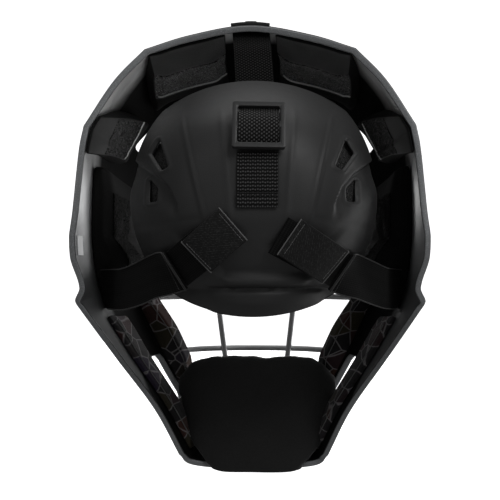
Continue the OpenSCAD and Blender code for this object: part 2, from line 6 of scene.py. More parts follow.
import bpy
import numpy as np
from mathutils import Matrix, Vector


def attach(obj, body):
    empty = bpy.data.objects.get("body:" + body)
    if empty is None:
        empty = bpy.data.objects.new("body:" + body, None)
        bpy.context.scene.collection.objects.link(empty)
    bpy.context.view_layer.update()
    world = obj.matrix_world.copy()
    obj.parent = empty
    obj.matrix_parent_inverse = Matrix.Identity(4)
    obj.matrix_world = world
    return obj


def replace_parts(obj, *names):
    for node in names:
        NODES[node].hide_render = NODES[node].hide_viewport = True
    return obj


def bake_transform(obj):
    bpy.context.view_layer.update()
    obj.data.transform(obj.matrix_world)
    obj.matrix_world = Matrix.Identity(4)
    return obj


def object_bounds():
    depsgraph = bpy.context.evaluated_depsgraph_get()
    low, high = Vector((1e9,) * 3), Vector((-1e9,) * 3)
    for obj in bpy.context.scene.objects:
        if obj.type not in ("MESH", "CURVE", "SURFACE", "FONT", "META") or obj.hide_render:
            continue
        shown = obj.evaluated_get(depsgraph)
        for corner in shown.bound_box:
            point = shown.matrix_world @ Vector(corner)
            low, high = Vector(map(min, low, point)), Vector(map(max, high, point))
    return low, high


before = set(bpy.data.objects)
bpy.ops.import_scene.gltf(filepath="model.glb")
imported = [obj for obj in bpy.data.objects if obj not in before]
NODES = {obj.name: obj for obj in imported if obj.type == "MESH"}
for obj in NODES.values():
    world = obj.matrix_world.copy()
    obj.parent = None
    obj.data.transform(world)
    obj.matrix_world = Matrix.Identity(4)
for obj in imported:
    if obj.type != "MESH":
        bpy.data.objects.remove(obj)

cad_low, cad_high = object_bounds()
MM = 0.001
SHELL, PLATE, BUCKLE, TAB_R, TAB_L = "mask_shell", "back_plate_body", "buckle", "tab_right", "tab_left"

# ---- The shell's surface, as in the CAD source ---------------------------------------------
# Stations round the right half: rear rim point, port edge point, (bulge, rim flare, ear relief, rim corner)
HALF = [
    [[0, -40, 152], [0, 130, 64], [43, 6, 0, 0]],
    [[40.6, -41, 145.2], [24, 129, 64], [42, 6, 0, 0]],
    [[70.8, -45, 135.5], [46, 125, 62], [38, 7, 0, 1]],
    [[91, -50, 113.7], [62, 119, 57], [33, 8, 0, 0]],
    [[110.4, -57, 82.9], [77, 110, 47], [27, 9, 0, 1]],
    [[113.4, -59, 66.1], [84, 104, 36], [23, 9, 0, 0]],
    [[117.5, -60, 26.4], [90, 97, 16], [17, 9, 0, 0]],
    [[118.5, -60, 9.2], [92, 94, 4], [15, 9, 1.4, 1]],
    [[118, -59, -5.9], [92, 92, -8], [14, 9, 1.2, 1]],
    [[116.5, -52, -26], [90, 92, -21], [13, 8, -2.4, 1]],
    [[115.5, -48, -33.5], [87, 93, -31], [12, 8, 2.8, 1]],
    [[113, -44, -41.1], [83, 95, -42], [11, 7, 1.6, 1]],
    [[94.8, -12, -77.3], [68, 105, -80], [9, 5, 0, 0]],
    [[72.1, 22, -117.2], [54, 117, -110], [9, 4, 0, 0]],
    [[56.5, 50, -155.5], [40, 126, -127], [11, 4, 0, 1]],
    [[45.5, 57, -164.5], [28, 130, -133], [14, 3, 0, 0]],
    [[0, 62, -168.1], [0, 134, -136], [18, 2, 0, 0]],
]
LAST = len(HALF) - 1
TURN = 2 * LAST
FLARE_END = 0.2
BUMP_POWER = 0.85
WALL = 4.0
stations = [HALF[k] if k <= LAST else HALF[TURN - k] for k in range(TURN)]
sides = np.array([1 if k <= LAST else -1 for k in range(TURN)], float)
RIM = np.array([st[0] for st in stations], float)
PORT = np.array([st[1] for st in stations], float)
RIM[:, 0] *= sides
PORT[:, 0] *= sides
SHAPE = np.array([st[2][:3] for st in stations], float)
CORNER = np.array([st[2][3] == 1 for st in stations])


def unit(v):
    return v / np.maximum(np.linalg.norm(v, axis=-1, keepdims=True), 1e-12)


def smooth(t):
    c = np.clip(t, 0, 1)
    return c * c * (3 - 2 * c)


def bell(t):
    """Bump of height 1 at 0."""
    return np.exp(-(t**2))


def hermite(a, b, slope_a, slope_b, t):
    """Cubic from a to b with the given slopes, at the share t."""
    t2, t3 = t * t, t * t * t
    blend = 3 * t2 - 2 * t3
    return (1 - blend) * a + (t3 - 2 * t2 + t) * slope_a + blend * b + (t3 - t2) * slope_b


def curve(points, s, corner=None):
    """Hermite curve through a loop of stations, with broken tangents where corner is true."""
    s = np.asarray(s, float) % TURN
    k = np.floor(s).astype(int)
    t = (s - k)[..., None]
    a, b, d, e = (points[(k + i) % TURN] for i in (-1, 0, 1, 2))
    m0, m1 = (d - a) / 2, (e - b) / 2
    if corner is not None:
        m0 = np.where(corner[k % TURN][..., None], d - b, m0)
        m1 = np.where(corner[(k + 1) % TURN][..., None], d - b, m1)
    return hermite(b, d, m0, m1, t)


def body_at(s, v):
    s, v = np.broadcast_arrays(np.asarray(s, float), np.asarray(v, float))
    r, p, q = curve(RIM, s, CORNER), curve(PORT, s), curve(SHAPE, s)
    along = unit(p - r)
    mid = (r + p) / 2
    out = unit(mid - np.sum(mid * along, -1, keepdims=True) * along)
    lip = (1 - np.minimum(1, v / FLARE_END)) ** 2
    bump = q[..., 0] * np.maximum(0, 4 * v * (1 - v)) ** BUMP_POWER
    lift = bump - q[..., 1] * (1 - v) * (1 - lip) + q[..., 2] * lip
    return r + (p - r) * v[..., None] + out * lift[..., None]


def body_normal(s, v):
    s, v = np.broadcast_arrays(np.asarray(s, float), np.asarray(v, float))
    lo, hi = np.maximum(0, v - 0.04), np.minimum(1, v + 0.04)
    return unit(np.cross(body_at(s + 0.5, v) - body_at(s - 0.5, v), body_at(s, hi) - body_at(s, lo)))


def under(s, v, depth):
    return body_at(s, v) - np.asarray(depth, float)[..., None] * body_normal(s, v)


# ---- The back plate's surface, as in the CAD source ----------------------------------------
PLATE_X, PLATE_Z, PLATE_W, PLATE_H = 3.0, 34.0, 81.0, 77.0
PLATE_EDGE_Y, PLATE_DEPTH, PLATE_ROUND, PLATE_POWER = -66.0, 52.0, 0.42, 1.8
PLATE_WALL = 3.0
LIP_Z, LIP_OUT = -22.0, 5.0


def plate_y(x, z):
    r = ((x - PLATE_X) / PLATE_W) ** 2 + ((z - PLATE_Z) / PLATE_H) ** 2
    return PLATE_EDGE_Y - PLATE_DEPTH + PLATE_DEPTH * r**PLATE_POWER - LIP_OUT * smooth((LIP_Z - z) / 14)


def plate_normal(x, z):
    x, z = np.broadcast_arrays(np.asarray(x, float), np.asarray(z, float))
    dx = plate_y(x + 1, z) - plate_y(x - 1, z)
    dz = plate_y(x, z + 1) - plate_y(x, z - 1)
    return unit(np.stack([dx / 2, -np.ones_like(x), dz / 2], -1))


def plate_at(x, z, lift=0.0):
    x, z = np.broadcast_arrays(np.asarray(x, float), np.asarray(z, float))
    p = np.stack([x, plate_y(x, z), z], -1)
    return p + np.asarray(lift, float)[..., None] * plate_normal(x, z)


def plate_xz(a, b):
    return (PLATE_X + PLATE_W * a * np.sqrt(1 - PLATE_ROUND * b * b),
            PLATE_Z + PLATE_H * b * np.sqrt(1 - PLATE_ROUND * a * a))


# ---- Mesh tools ----------------------------------------------------------------------------
def make_mesh(name, verts, faces, materials, material_ids=None, sharp=38.0, relief=None):
    """A mesh object from points in millimetres. relief is a value per point, which woven materials read."""
    me = bpy.data.meshes.new(name)
    me.from_pydata((np.asarray(verts, float) * MM).tolist(), [], [tuple(int(i) for i in f) for f in faces])
    for m in materials:
        me.materials.append(m)
    if material_ids is not None:
        me.polygons.foreach_set("material_index", np.asarray(material_ids, np.int32))
    if relief is not None:
        layer = me.attributes.new("relief", "FLOAT", "POINT")
        layer.data.foreach_set("value", np.asarray(relief, np.float32))
    me.shade_smooth()
    me.set_sharp_from_angle(angle=math.radians(sharp))
    me.update()
    ob = bpy.data.objects.new(name, me)
    bpy.context.scene.collection.objects.link(ob)
    return ob


def points_of(ob):
    """An object's points in millimetres."""
    co = np.zeros(len(ob.data.vertices) * 3)
    ob.data.vertices.foreach_get("co", co)
    return co.reshape(-1, 3) / MM


def move_points(ob, points):
    ob.data.vertices.foreach_set("co", (points * MM).ravel())
    ob.data.update()


def refine(ob):
    """One level of subdivision."""
    sub = ob.modifiers.new("smooth", "SUBSURF")
    sub.levels = sub.render_levels = 1


def grid_faces(n, m, wrap_u=False, wrap_v=False, base=0):
    """Faces of a grid of n by m points."""
    faces = []
    for i in range(n if wrap_u else n - 1):
        here, there = base + i * m, base + (i + 1) % n * m
        for j in range(m if wrap_v else m - 1):
            k = (j + 1) % m
            faces.append((here + j, there + j, there + k, here + k))
    return faces


def turned(faces):
    return [f[::-1] for f in faces]


def polygon_distance(x, y, poly):
    """Signed distance to a polygon, negative inside."""
    poly = np.asarray(poly, float)
    best = np.full(np.shape(x), 1e9)
    inside = np.zeros(np.shape(x), bool)
    for (x0, y0), (x1, y1) in zip(poly, np.roll(poly, -1, 0)):
        ex, ey = x1 - x0, y1 - y0
        t = np.clip(((x - x0) * ex + (y - y0) * ey) / (ex * ex + ey * ey), 0, 1)
        best = np.minimum(best, np.hypot(x - x0 - t * ex, y - y0 - t * ey))
        inside ^= ((y0 > y) != (y1 > y)) & (x < ex * (y - y0) / (ey if ey else 1e-12) + x0)
    return np.where(inside, -best, best)


def rounded(x, y, poly, radius):
    """Distance to a polygon with its corners rounded, keeping its sides where they are."""
    poly = np.asarray(poly, float)
    after = np.roll(poly, -1, 0)
    turn = 1 if np.sum(poly[:, 0] * after[:, 1] - after[:, 0] * poly[:, 1]) > 0 else -1
    shrunk = []
    for a, b, c in zip(np.roll(poly, 1, 0), poly, after):
        d0, d1 = unit(b - a), unit(c - b)
        n0, n1 = turn * np.array([-d0[1], d0[0]]), turn * np.array([-d1[1], d1[0]])
        middle = unit(n0 + n1)
        shrunk.append(b + middle * radius / max(0.35, float(middle @ n0)))
    return polygon_distance(x, y, shrunk) - radius


def cut_grid(u, v, distance, wrap):
    """Moves grid points onto the outline where distance is 0, and returns the new u and v and the faces
    outside it."""
    n, m = u.shape
    before = distance(u, v)
    u, v, after = u.copy(), v.copy(), before.copy()
    moved = np.ones(before.shape)
    target = {}
    for di, dj in ((1, 0), (0, 1)):
        crossing = before * np.roll(before, (-di, -dj), (0, 1)) < 0
        if dj:
            crossing[:, -1] = False
        elif not wrap:
            crossing[-1] = False
        for i, j in np.argwhere(crossing):
            i1, j1 = (i + di) % n, j + dj
            t = before[i, j] / (before[i, j] - before[i1, j1])
            du, dv = u[i1, j1] - u[i, j], v[i1, j1] - v[i, j]
            if wrap and abs(du) > TURN / 2:
                du -= math.copysign(TURN, du)
            spot = (i, j) if t <= 0.5 else (i1, j1)
            if min(t, 1 - t) < moved[spot]:
                moved[spot] = min(t, 1 - t)
                target[spot] = (u[i, j] + du * t, v[i, j] + dv * t)
    for spot, (new_u, new_v) in target.items():
        u[spot], v[spot], after[spot] = new_u, new_v, 0.0
    sign = np.sign(after).astype(int).ravel().tolist()
    faces = []
    for face in grid_faces(n, m, wrap_u=wrap):
        signs = [sign[c] for c in face]
        if min(signs) >= 0 and max(signs) > 0:
            faces.append(face)
        elif min(signs) < 0 < max(signs):
            k = signs.index(1)
            if signs[(k + 2) % 4] < 0 and signs[(k + 1) % 4] <= 0 and signs[k - 1] <= 0:
                faces.append((face[k - 1], face[k], face[(k + 1) % 4]))
    return u, v, faces


def solid_sheet(outer, inner, faces, radius=0.6, steps=3):
    """Closed wall between two point sets with the same faces, its open edges rounded.
    Returns the points, the faces, for each face 0 outer, 1 inner or 2 edge, and which points were kept."""
    outer, inner = outer.reshape(-1, 3), inner.reshape(-1, 3)
    edges = dict.fromkeys((a, b) for f in faces for a, b in zip(f, f[1:] + f[:1]))
    border = [(a, b) for a, b in edges if (b, a) not in edges]
    after, before = dict(border), {b: a for a, b in border}
    keep = np.array(sorted({a for a, b in edges}))
    index = {a: k for k, a in enumerate(keep.tolist())}
    n = len(keep)
    new_outer, new_inner = outer.copy(), inner.copy()
    extra, ring_of = [], {}
    turns = [math.pi / 2 * k / steps for k in range(1, steps + 1)]
    for a in after:
        thick = np.linalg.norm(outer[a] - inner[a])
        up = (outer[a] - inner[a]) / max(thick, 1e-9)
        into = unit(np.cross(up, unit(outer[after[a]] - outer[before.get(a, a)])))
        r = min(radius, 0.48 * thick)
        top, low = outer[a] + into * r - up * r, inner[a] + into * r + up * r
        new_outer[a], new_inner[a] = top + up * r, low - up * r
        ring = [top + r * (up * math.cos(w) - into * math.sin(w)) for w in turns]
        ring += [low - r * (up * math.cos(w) + into * math.sin(w)) for w in reversed(turns)]
        first = 2 * n + len(extra)
        ring_of[a] = [index[a], *range(first, first + len(ring)), n + index[a]]
        extra += ring
    verts = np.concatenate([new_outer[keep], new_inner[keep]] + ([np.array(extra)] if extra else []))
    outer_faces = [tuple(index[i] for i in f) for f in faces]
    inner_faces = [tuple(n + i for i in reversed(f)) for f in outer_faces]
    edge_faces = []
    for a, b in border:
        ra, rb = ring_of[a], ring_of[b]
        edge_faces += [(rb[k], ra[k], ra[k + 1], rb[k + 1]) for k in range(len(ra) - 1)]
    ids = [0] * len(faces) + [1] * len(faces) + [2] * len(edge_faces)
    return verts, outer_faces + inner_faces + edge_faces, ids, keep


def spline(points, step):
    """Points at even steps along a smooth curve; columns after the third ride along."""
    p = np.asarray(points, float)
    ext = np.vstack([2 * p[0] - p[1], p, 2 * p[-1] - p[-2]])
    fine = []
    for a, b, c, d in zip(ext, ext[1:], ext[2:], ext[3:]):
        for t in np.linspace(0, 1, 24, endpoint=False):
            fine.append(hermite(b, c, (c - a) / 2, (d - b) / 2, t))
    fine = np.array(fine + [p[-1]])
    length = np.concatenate([[0], np.cumsum(np.linalg.norm(np.diff(fine[:, :3], axis=0), axis=1))])
    at = np.linspace(0, length[-1], max(2, int(round(length[-1] / step)) + 1))
    return np.stack([np.interp(at, length, fine[:, k]) for k in range(fine.shape[1])], 1), at


def tube_mesh(path, radius, around=14, closed=False):
    """Points and faces of a round tube on a path of points, with domed ends."""
    p = np.asarray(path, float)
    n = len(p)
    t = unit(np.roll(p, -1, 0) - np.roll(p, 1, 0)) if closed else unit(np.gradient(p, axis=0))
    rad = np.broadcast_to(np.asarray(radius, float), n)
    side = np.zeros_like(p)
    side[0] = unit(np.cross([0, 1, 0.01], t[0]))
    for i in range(1, n):
        side[i] = unit(side[i - 1] - t[i] * (side[i - 1] @ t[i]))
    if closed:
        # spread the mismatch of the carried frame over the loop
        back = unit(side[-1] - t[0] * (side[-1] @ t[0]))
        twist = math.atan2(back @ np.cross(t[0], side[0]), back @ side[0])
        for i in range(n):
            a = -twist * i / n
            side[i] = side[i] * math.cos(a) + np.cross(t[i], side[i]) * math.sin(a)
    rings = [(p[i], side[i], t[i], rad[i]) for i in range(n)]
    if not closed:
        for k in (1, 2, 3):
            a = math.pi / 2 * k / 3.2
            out, share = math.sin(a), math.cos(a)
            rings.insert(0, (p[0] - t[0] * rad[0] * out, side[0], t[0], rad[0] * share))
            rings.append((p[-1] + t[-1] * rad[-1] * out, side[-1], t[-1], rad[-1] * share))
    turn = np.arange(around)[:, None] * 2 * math.pi / around
    verts = [c + r * (np.cos(turn) * u + np.sin(turn) * np.cross(w, u)) for c, u, w, r in rings]
    verts = np.concatenate(verts)
    faces = turned(grid_faces(len(rings), around, wrap_u=closed, wrap_v=True))
    if not closed:
        faces.append(tuple(range(around)))
        faces.append(tuple(reversed(range(len(verts) - around, len(verts)))))
    return verts, faces


def merge(parts):
    """One point list and face list from several."""
    verts, faces, base = [], [], 0
    for v, f in parts:
        verts.append(np.asarray(v))
        faces += [tuple(base + i for i in q) for q in f]
        base += len(v)
    return np.concatenate(verts), faces


def tubes(name, paths, radius, material, closed=False, around=12):
    verts, faces = merge([tube_mesh(p, radius, around, closed) for p in paths])
    return make_mesh(name, verts, faces, [material], sharp=60)


# ---- Materials -----------------------------------------------------------------------------
class Paint:
    """One procedural material: a Principled shader and short calls for the nodes in front of it."""

    def __init__(self, name, rough=0.6, metallic=0.0, **sockets):
        self.mat = bpy.data.materials.new(name)
        self.mat.use_nodes = True
        self.tree = self.mat.node_tree
        self.shader = self.tree.nodes["Principled BSDF"]
        self.shader.inputs["Roughness"].default_value = rough
        self.shader.inputs["Metallic"].default_value = metallic
        for key, value in sockets.items():
            self.shader.inputs[key.replace("_", " ")].default_value = value
        self.place = self.tree.nodes.new("ShaderNodeTexCoord").outputs["Object"]

    def put(self, socket, value):
        if isinstance(value, bpy.types.NodeSocket):
            self.tree.links.new(value, socket)
        elif socket.type == "RGBA":
            socket.default_value = (*value, 1)
        else:
            socket.default_value = value

    def node(self, kind, **values):
        n = self.tree.nodes.new(kind)
        for key, value in values.items():
            if hasattr(n, key):
                setattr(n, key, value)
            else:
                self.put(n.inputs[key.replace("_", " ")], value)
        return n

    def noise(self, scale, detail=3.0, rough=0.55):
        return self.node("ShaderNodeTexNoise", Vector=self.place, Scale=scale, Detail=detail,
                         Roughness=rough).outputs["Fac"]

    def math(self, operation, *values):
        n = self.node("ShaderNodeMath", operation=operation)
        for socket, value in zip(n.inputs, values):
            self.put(socket, value)
        return n.outputs[0]

    def ramp(self, value, *stops):
        n = self.tree.nodes.new("ShaderNodeValToRGB")
        ramp = n.color_ramp
        while len(ramp.elements) < len(stops):
            ramp.elements.new(0.5)
        for element, (at, colour) in zip(ramp.elements, stops):
            element.position = at
            element.color = (*colour, 1)
        self.tree.links.new(value, n.inputs["Fac"])
        return n.outputs["Color"]

    def mask(self, value, low, high, full=1.0, empty=0.0):
        """Goes from empty to full while value goes from low to high."""
        return self.ramp(value, (low, grey(empty)), (high, grey(full)))

    def mix(self, factor, a, b, blend="MIX"):
        n = self.node("ShaderNodeMix", data_type="RGBA", blend_type=blend)
        for k, value in ((0, factor), (6, a), (7, b)):
            self.put(n.inputs[k], value)
        return n.outputs[2]

    def colour(self, value):
        self.put(self.shader.inputs["Base Color"], value)
        return self

    def roughness(self, value, low, high):
        self.put(self.shader.inputs["Roughness"], self.math("MULTIPLY_ADD", value, high - low, low))
        return self

    def bump(self, *layers, distance=0.0004):
        """Each layer is (height socket, strength)."""
        normal = None
        for height, strength in layers:
            n = self.node("ShaderNodeBump", Strength=strength, Distance=distance, Height=height)
            if normal is not None:
                self.tree.links.new(normal, n.inputs["Normal"])
            normal = n.outputs["Normal"]
        self.tree.links.new(normal, self.shader.inputs["Normal"])
        return self


def grey(v, tint=0.0):
    return (v * (1 - tint), v, v * (1 + tint))


def make_shell_paint(name, dark, light, metallic):
    """Satin paint with fine metal flakes and rubbed patches."""
    p = Paint(name, 0.36, metallic)
    cloud, flake, scuff = p.noise(14, 4), p.noise(2600, 1), p.noise(160, 6, 0.7)
    base = p.ramp(cloud, (0.3, grey(dark, 0.03)), (0.7, grey(light, 0.03)))
    base = p.mix(p.mask(flake, 0.56, 0.72), base, grey(light * 1.8, 0.03))
    base = p.mix(p.mask(scuff, 0.66, 0.8, 0.5), base, grey(light * 1.5))
    p.colour(base).roughness(scuff, 0.26, 0.5)
    return p.bump((p.noise(700, 2), 0.1), (cloud, 0.05)).mat


def make_shaded_wall_paint(name, rim_tone, deep_tone):
    """Glossy paint, lighter by the rim and near black deep inside the shell: the darkening with depth is
    painted shade.
    """
    p = Paint(name, 0.3, 0.2)
    place = p.node("ShaderNodeSeparateXYZ", Vector=p.place).outputs
    cloud, scuff = p.noise(14, 4), p.noise(160, 6, 0.7)
    # painted shade: the colour darkens from the rim inwards, along Y, with a cloudy edge
    wander = p.math("MULTIPLY_ADD", cloud, 0.03, place["Y"])
    depth = p.mask(p.math("MULTIPLY", wander, 16.0), 0.1, 0.55)
    # painted shade below the middle of the shell as well, none high up
    low = p.mask(p.math("MULTIPLY", place["Z"], -10.0), 0.0, 0.3, 0.72, 0.35)
    low = p.mix(p.mask(p.math("MULTIPLY", place["Z"], 20.0), 0.1, 0.6), low, grey(0))
    depth = p.mix(1.0, depth, low, "LIGHTEN")
    light = p.ramp(cloud, (0.3, grey(rim_tone * 0.85, 0.02)), (0.7, grey(rim_tone, 0.02)))
    # painted highlight: the wall is lighter high up
    light = p.mix(p.mask(p.math("MULTIPLY", place["Z"], 10.0), 0.4, 0.8), light, grey(rim_tone * 2.4))
    base = p.mix(depth, light, grey(deep_tone))
    base = p.mix(p.mask(scuff, 0.68, 0.82, 0.4), base, grey(rim_tone * 1.3))
    # where the painted shade is, the paint is also rougher and less specular
    deep = p.node("ShaderNodeSeparateColor", Color=depth).outputs[0]
    rough = p.math("MULTIPLY_ADD", scuff, 0.18, p.math("MULTIPLY_ADD", deep, 0.5, 0.24))
    p.put(p.shader.inputs["Roughness"], rough)
    p.put(p.shader.inputs["Specular IOR Level"], p.math("MULTIPLY_ADD", deep, -0.45, 0.5))
    return p.colour(base).bump((p.noise(700, 2), 0.08), (cloud, 0.05)).mat


def make_plastic(name, dark, light, rough=(0.42, 0.6), grain=1500, strength=0.25):
    p = Paint(name, 0.5)
    cloud, fine, scuff = p.noise(30, 4), p.noise(grain, 2), p.noise(260, 6, 0.7)
    base = p.ramp(cloud, (0.3, grey(dark, 0.01)), (0.7, grey(light, 0.01)))
    base = p.mix(p.mask(scuff, 0.7, 0.84, 0.5), base, grey(light * 1.7))
    p.colour(base).roughness(scuff, *rough)
    return p.bump((fine, strength), (p.noise(90, 3), 0.06)).mat


def make_knit(name, dark, light, scale=1500, sheen=0.15, strength=0.5, gloss=0.2):
    """Short napped or knitted cover cloth."""
    p = Paint(name, 0.92, Sheen_Weight=sheen, Sheen_Roughness=0.5, Specular_IOR_Level=gloss)
    cloud, fine = p.noise(60, 4), p.noise(scale, 3, 0.7)
    base = p.mix(cloud, p.ramp(fine, (0.35, grey(dark)), (0.7, grey(light))), grey(dark))
    return p.colour(base).bump((fine, strength), (p.noise(220, 4), 0.25)).mat


def make_loop(name, dark, light, sheen=0.25):
    """Looped hook-and-loop cloth: pale flecks over a dark ground."""
    p = Paint(name, 0.85, Sheen_Weight=sheen, Sheen_Roughness=0.4, Specular_IOR_Level=sheen)
    fleck = p.noise(1150, 2, 0.8)
    base = p.ramp(fleck, (0.40, grey(dark)), (0.52, grey(dark * 2.6)), (0.62, grey(light)))
    base = p.mix(p.mask(p.noise(110, 3), 0.35, 0.75, 0.55), base, grey(dark * 1.4))
    return p.colour(base).bump((fleck, 0.9), distance=0.0008).mat


def make_woven(name, dark, light, rough=0.7, gloss=0.3):
    """Webbing and elastic: the pieces carry their weave's height as the field relief."""
    p = Paint(name, rough, Sheen_Weight=0.2 * gloss, Sheen_Roughness=0.4, Specular_IOR_Level=gloss)
    height = p.node("ShaderNodeAttribute", attribute_name="relief").outputs["Fac"]
    # painted shade and highlight: the colour follows the weave's height, dark in its hollows and light on its
    # raised yarns
    base = p.ramp(height, (0.3, grey(dark)), (0.6, grey((dark + light) * 0.2)), (0.85, grey(light)))
    base = p.mix(p.math("MULTIPLY", p.noise(40, 3), 0.2), base, grey((dark + light) * 0.12))
    return p.colour(base).bump((p.noise(4200, 2, 0.7), 0.35), distance=0.0002).mat


def make_print(name):
    """Dark knit with a facet print: pale lines between cells, and a muted tint in some of the cells."""
    p = Paint(name, 0.88, Sheen_Weight=0.1, Sheen_Roughness=0.5, Specular_IOR_Level=0.2)
    stretch = p.node("ShaderNodeMapping", Vector=p.place)
    stretch.inputs["Scale"].default_value = (1.0, 0.62, 1.25)
    stretch.inputs["Rotation"].default_value = (0.5, 0.3, 0.2)
    facets = dict(Vector=stretch.outputs[0], Scale=62.0)
    edge = p.node("ShaderNodeTexVoronoi", feature="DISTANCE_TO_EDGE", **facets).outputs["Distance"]
    cell = p.node("ShaderNodeTexVoronoi", **facets).outputs["Color"]
    weave = p.noise(1800, 2, 0.7)
    tint = p.ramp(p.node("ShaderNodeSeparateColor", Color=cell).outputs[0],
                  (0.0, (0.010, 0.009, 0.010)), (0.42, (0.011, 0.010, 0.011)), (0.55, (0.030, 0.011, 0.014)),
                  (0.68, (0.046, 0.020, 0.010)), (0.8, (0.016, 0.013, 0.030)), (1.0, (0.030, 0.025, 0.012)))
    line = p.mask(edge, 0.012, 0.045, 0.0, 0.55)
    base = p.mix(line, p.mix(0.5, tint, tint, "ADD"), (0.42, 0.40, 0.41))
    base = p.mix(p.mask(weave, 0.3, 0.6, 0.0, 0.55), base, grey(0.006))
    return p.colour(base).bump((weave, 0.4), (line, 0.15)).mat


def make_metal(name, dark, light, rough=(0.28, 0.5), metallic=0.85):
    p = Paint(name, 0.4, metallic)
    cloud, scuff = p.noise(70, 4), p.noise(900, 5, 0.7)
    p.colour(p.ramp(cloud, (0.3, grey(dark, 0.01)), (0.7, grey(light, 0.01)))).roughness(scuff, *rough)
    return p.bump((scuff, 0.12), distance=0.0002).mat


outer_paint = make_shell_paint("outer_paint", 0.040, 0.062, 0.45)
inner_paint = make_shaded_wall_paint("inner_paint", 0.34, 0.010)
rim_paint = make_shell_paint("rim_paint", 0.17, 0.25, 0.15)
plate_plastic = make_plastic("plate_plastic", 0.021, 0.025)
black_plastic = make_plastic("black_plastic", 0.028, 0.038, (0.26, 0.4), 900, 0.08)
foam_cloth = make_knit("foam_cloth", 0.034, 0.062)
# a darker copy of the pads' knit, with little sheen or gloss, for pad backs, shaded fronts and the ear pads:
# painted shade
shaded_side_cloth = make_knit("shaded_side_cloth", 0.009, 0.019, sheen=0.02, gloss=0.06)
plush_cloth = make_knit("plush_cloth", 0.018, 0.027, 900, 0.12, 0.4)
loop_cloth = make_loop("loop_cloth", 0.013, 0.42)
lining_cloth = make_loop("lining_cloth", 0.007, 0.10, 0.12)
# darker copies of foam_cloth and loop_cloth for the temple pads: painted shade
shaded_temple_cloth = make_knit("shaded_temple_cloth", 0.014, 0.026)
shaded_temple_loop = make_loop("shaded_temple_loop", 0.006, 0.20, 0.1)
shaded_loop = make_loop("shaded_loop", 0.003, 0.022, 0.04)
# piping on the loop strips' edges, coloured near white as a painted highlight
piping_and_painted_highlight = make_knit("piping_and_painted_highlight", 0.75, 0.95, 2200, 0.2)
# seams and hems lighter than their straps: real seams and hems, their lightness a painted highlight on the
# edges
seam_and_painted_highlight = make_knit("seam_and_painted_highlight", 0.03, 0.06, 2200, 0.2)
hem_and_painted_highlight = make_knit("hem_and_painted_highlight", 0.13, 0.26, 2200, 0.2)
webbing_cloth = make_woven("webbing_cloth", 0.0004, 0.11, 0.7, 0.2)
shaded_webbing = make_woven("shaded_webbing", 0.0004, 0.036, 0.8, 0.1)
elastic_cloth = make_woven("elastic_cloth", 0.003, 0.014, 0.9, 0.18)
strap_cloth = make_woven("strap_cloth", 0.010, 0.056, 0.85)
thread = make_knit("thread", 0.12, 0.26, 3000)
blackened = make_metal("blackened", 0.006, 0.011, (0.75, 0.9), 0.0)
print_cloth = make_print("print_cloth")
cage_metal = make_metal("cage_metal", 0.48, 0.62, (0.3, 0.45), 0.35)
dark_steel = make_metal("dark_steel", 0.10, 0.18)
label_film = make_plastic("label_film", 0.62, 0.72, (0.35, 0.5), 400, 0.05)

# ---- Shell ---------------------------------------------------------------------------------
S_STEP, V_COUNT = 0.1, 79
VENTS = [[2.5, 3.5, 0.7, 0.8], [5.5, 6, 0.4, 0.6], [6.5, 7, 0.4, 0.6], [7.5, 8, 0.4, 0.6], [12, 13, 0.6, 0.8]]
VENT_ROUND = 2.6
LACE_X, LACE_Y, LACE_R, LACE_TOP = 30.0, 92.0, 3.0, -120.0
FAR = 1e9


def half_turn(s):
    """Stations counted from the crown down either side."""
    return np.minimum(s % TURN, TURN - s % TURN)


def vent_distance(s, v):
    half = half_turn(s)
    best = np.full(np.shape(s), FAR)
    for s0, s1, v0, v1 in VENTS:
        sc, vc = (s0 + s1) / 2, (v0 + v1) / 2
        su = float(np.linalg.norm(body_at(sc + 0.2, vc) - body_at(sc - 0.2, vc))) / 0.4
        sv = float(np.linalg.norm(body_at(sc, vc + 0.02) - body_at(sc, vc - 0.02))) / 0.04
        corners = [((a - sc) * su, (b - vc) * sv) for a, b in ((s0, v0), (s1, v0), (s1, v1), (s0, v1))]
        best = np.minimum(best, rounded((half - sc) * su, (v - vc) * sv, corners, VENT_ROUND))
    p = body_at(s, v)
    lace = np.hypot(np.abs(p[..., 0]) - LACE_X, p[..., 1] - LACE_Y) - LACE_R
    return np.minimum(best, np.where(p[..., 2] < LACE_TOP, lace, FAR))


def shell_relief(s, v):
    """Moulded relief of the outer face: a raised band round the port, a spine and two side grooves."""
    half = half_turn(s)
    band = 0.9 * smooth((v - 0.885) / 0.03)
    spine = 1.3 * smooth((0.75 - half) / 0.25) * smooth((v - 0.24) / 0.1) * smooth((0.84 - v) / 0.08)
    groove_at = 4.05 + 0.5 * smooth((v - 0.3) / 0.5)
    groove = -1.1 * bell((half - groove_at) / 0.10) * smooth((v - 0.06) / 0.1) * smooth((0.86 - v) / 0.1)
    jaw = 1.1 * smooth((half - 11.3) / 0.25) * smooth((13.6 - half) / 0.3)
    return band + spine + groove + jaw * smooth((v - 0.5) / 0.04) * smooth((0.88 - v) / 0.03)


def build_shell():
    s, v = np.meshgrid(np.arange(0, TURN, S_STEP), np.linspace(0, 1, V_COUNT), indexing="ij")
    s, v, faces = cut_grid(s, v, vent_distance, True)
    s, v = s.ravel(), v.ravel()
    outer = body_at(s, v) + shell_relief(s, v)[:, None] * body_normal(s, v)
    verts, faces, part, _ = solid_sheet(outer, under(s, v, WALL), faces, 0.7)
    ob = make_mesh("shell_skin", verts, faces, [outer_paint, inner_paint, rim_paint], part, sharp=50)
    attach(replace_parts(ob, "shell"), SHELL)


def build_rim_line():
    """A dark tube where the rim's face meets the inner wall: a painted shade line."""
    path = under(np.arange(0, TURN, 0.05), 0.008, WALL + 0.05)
    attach(tubes("rim_shade_line", [path], 0.4, outer_paint, True, 6), SHELL)


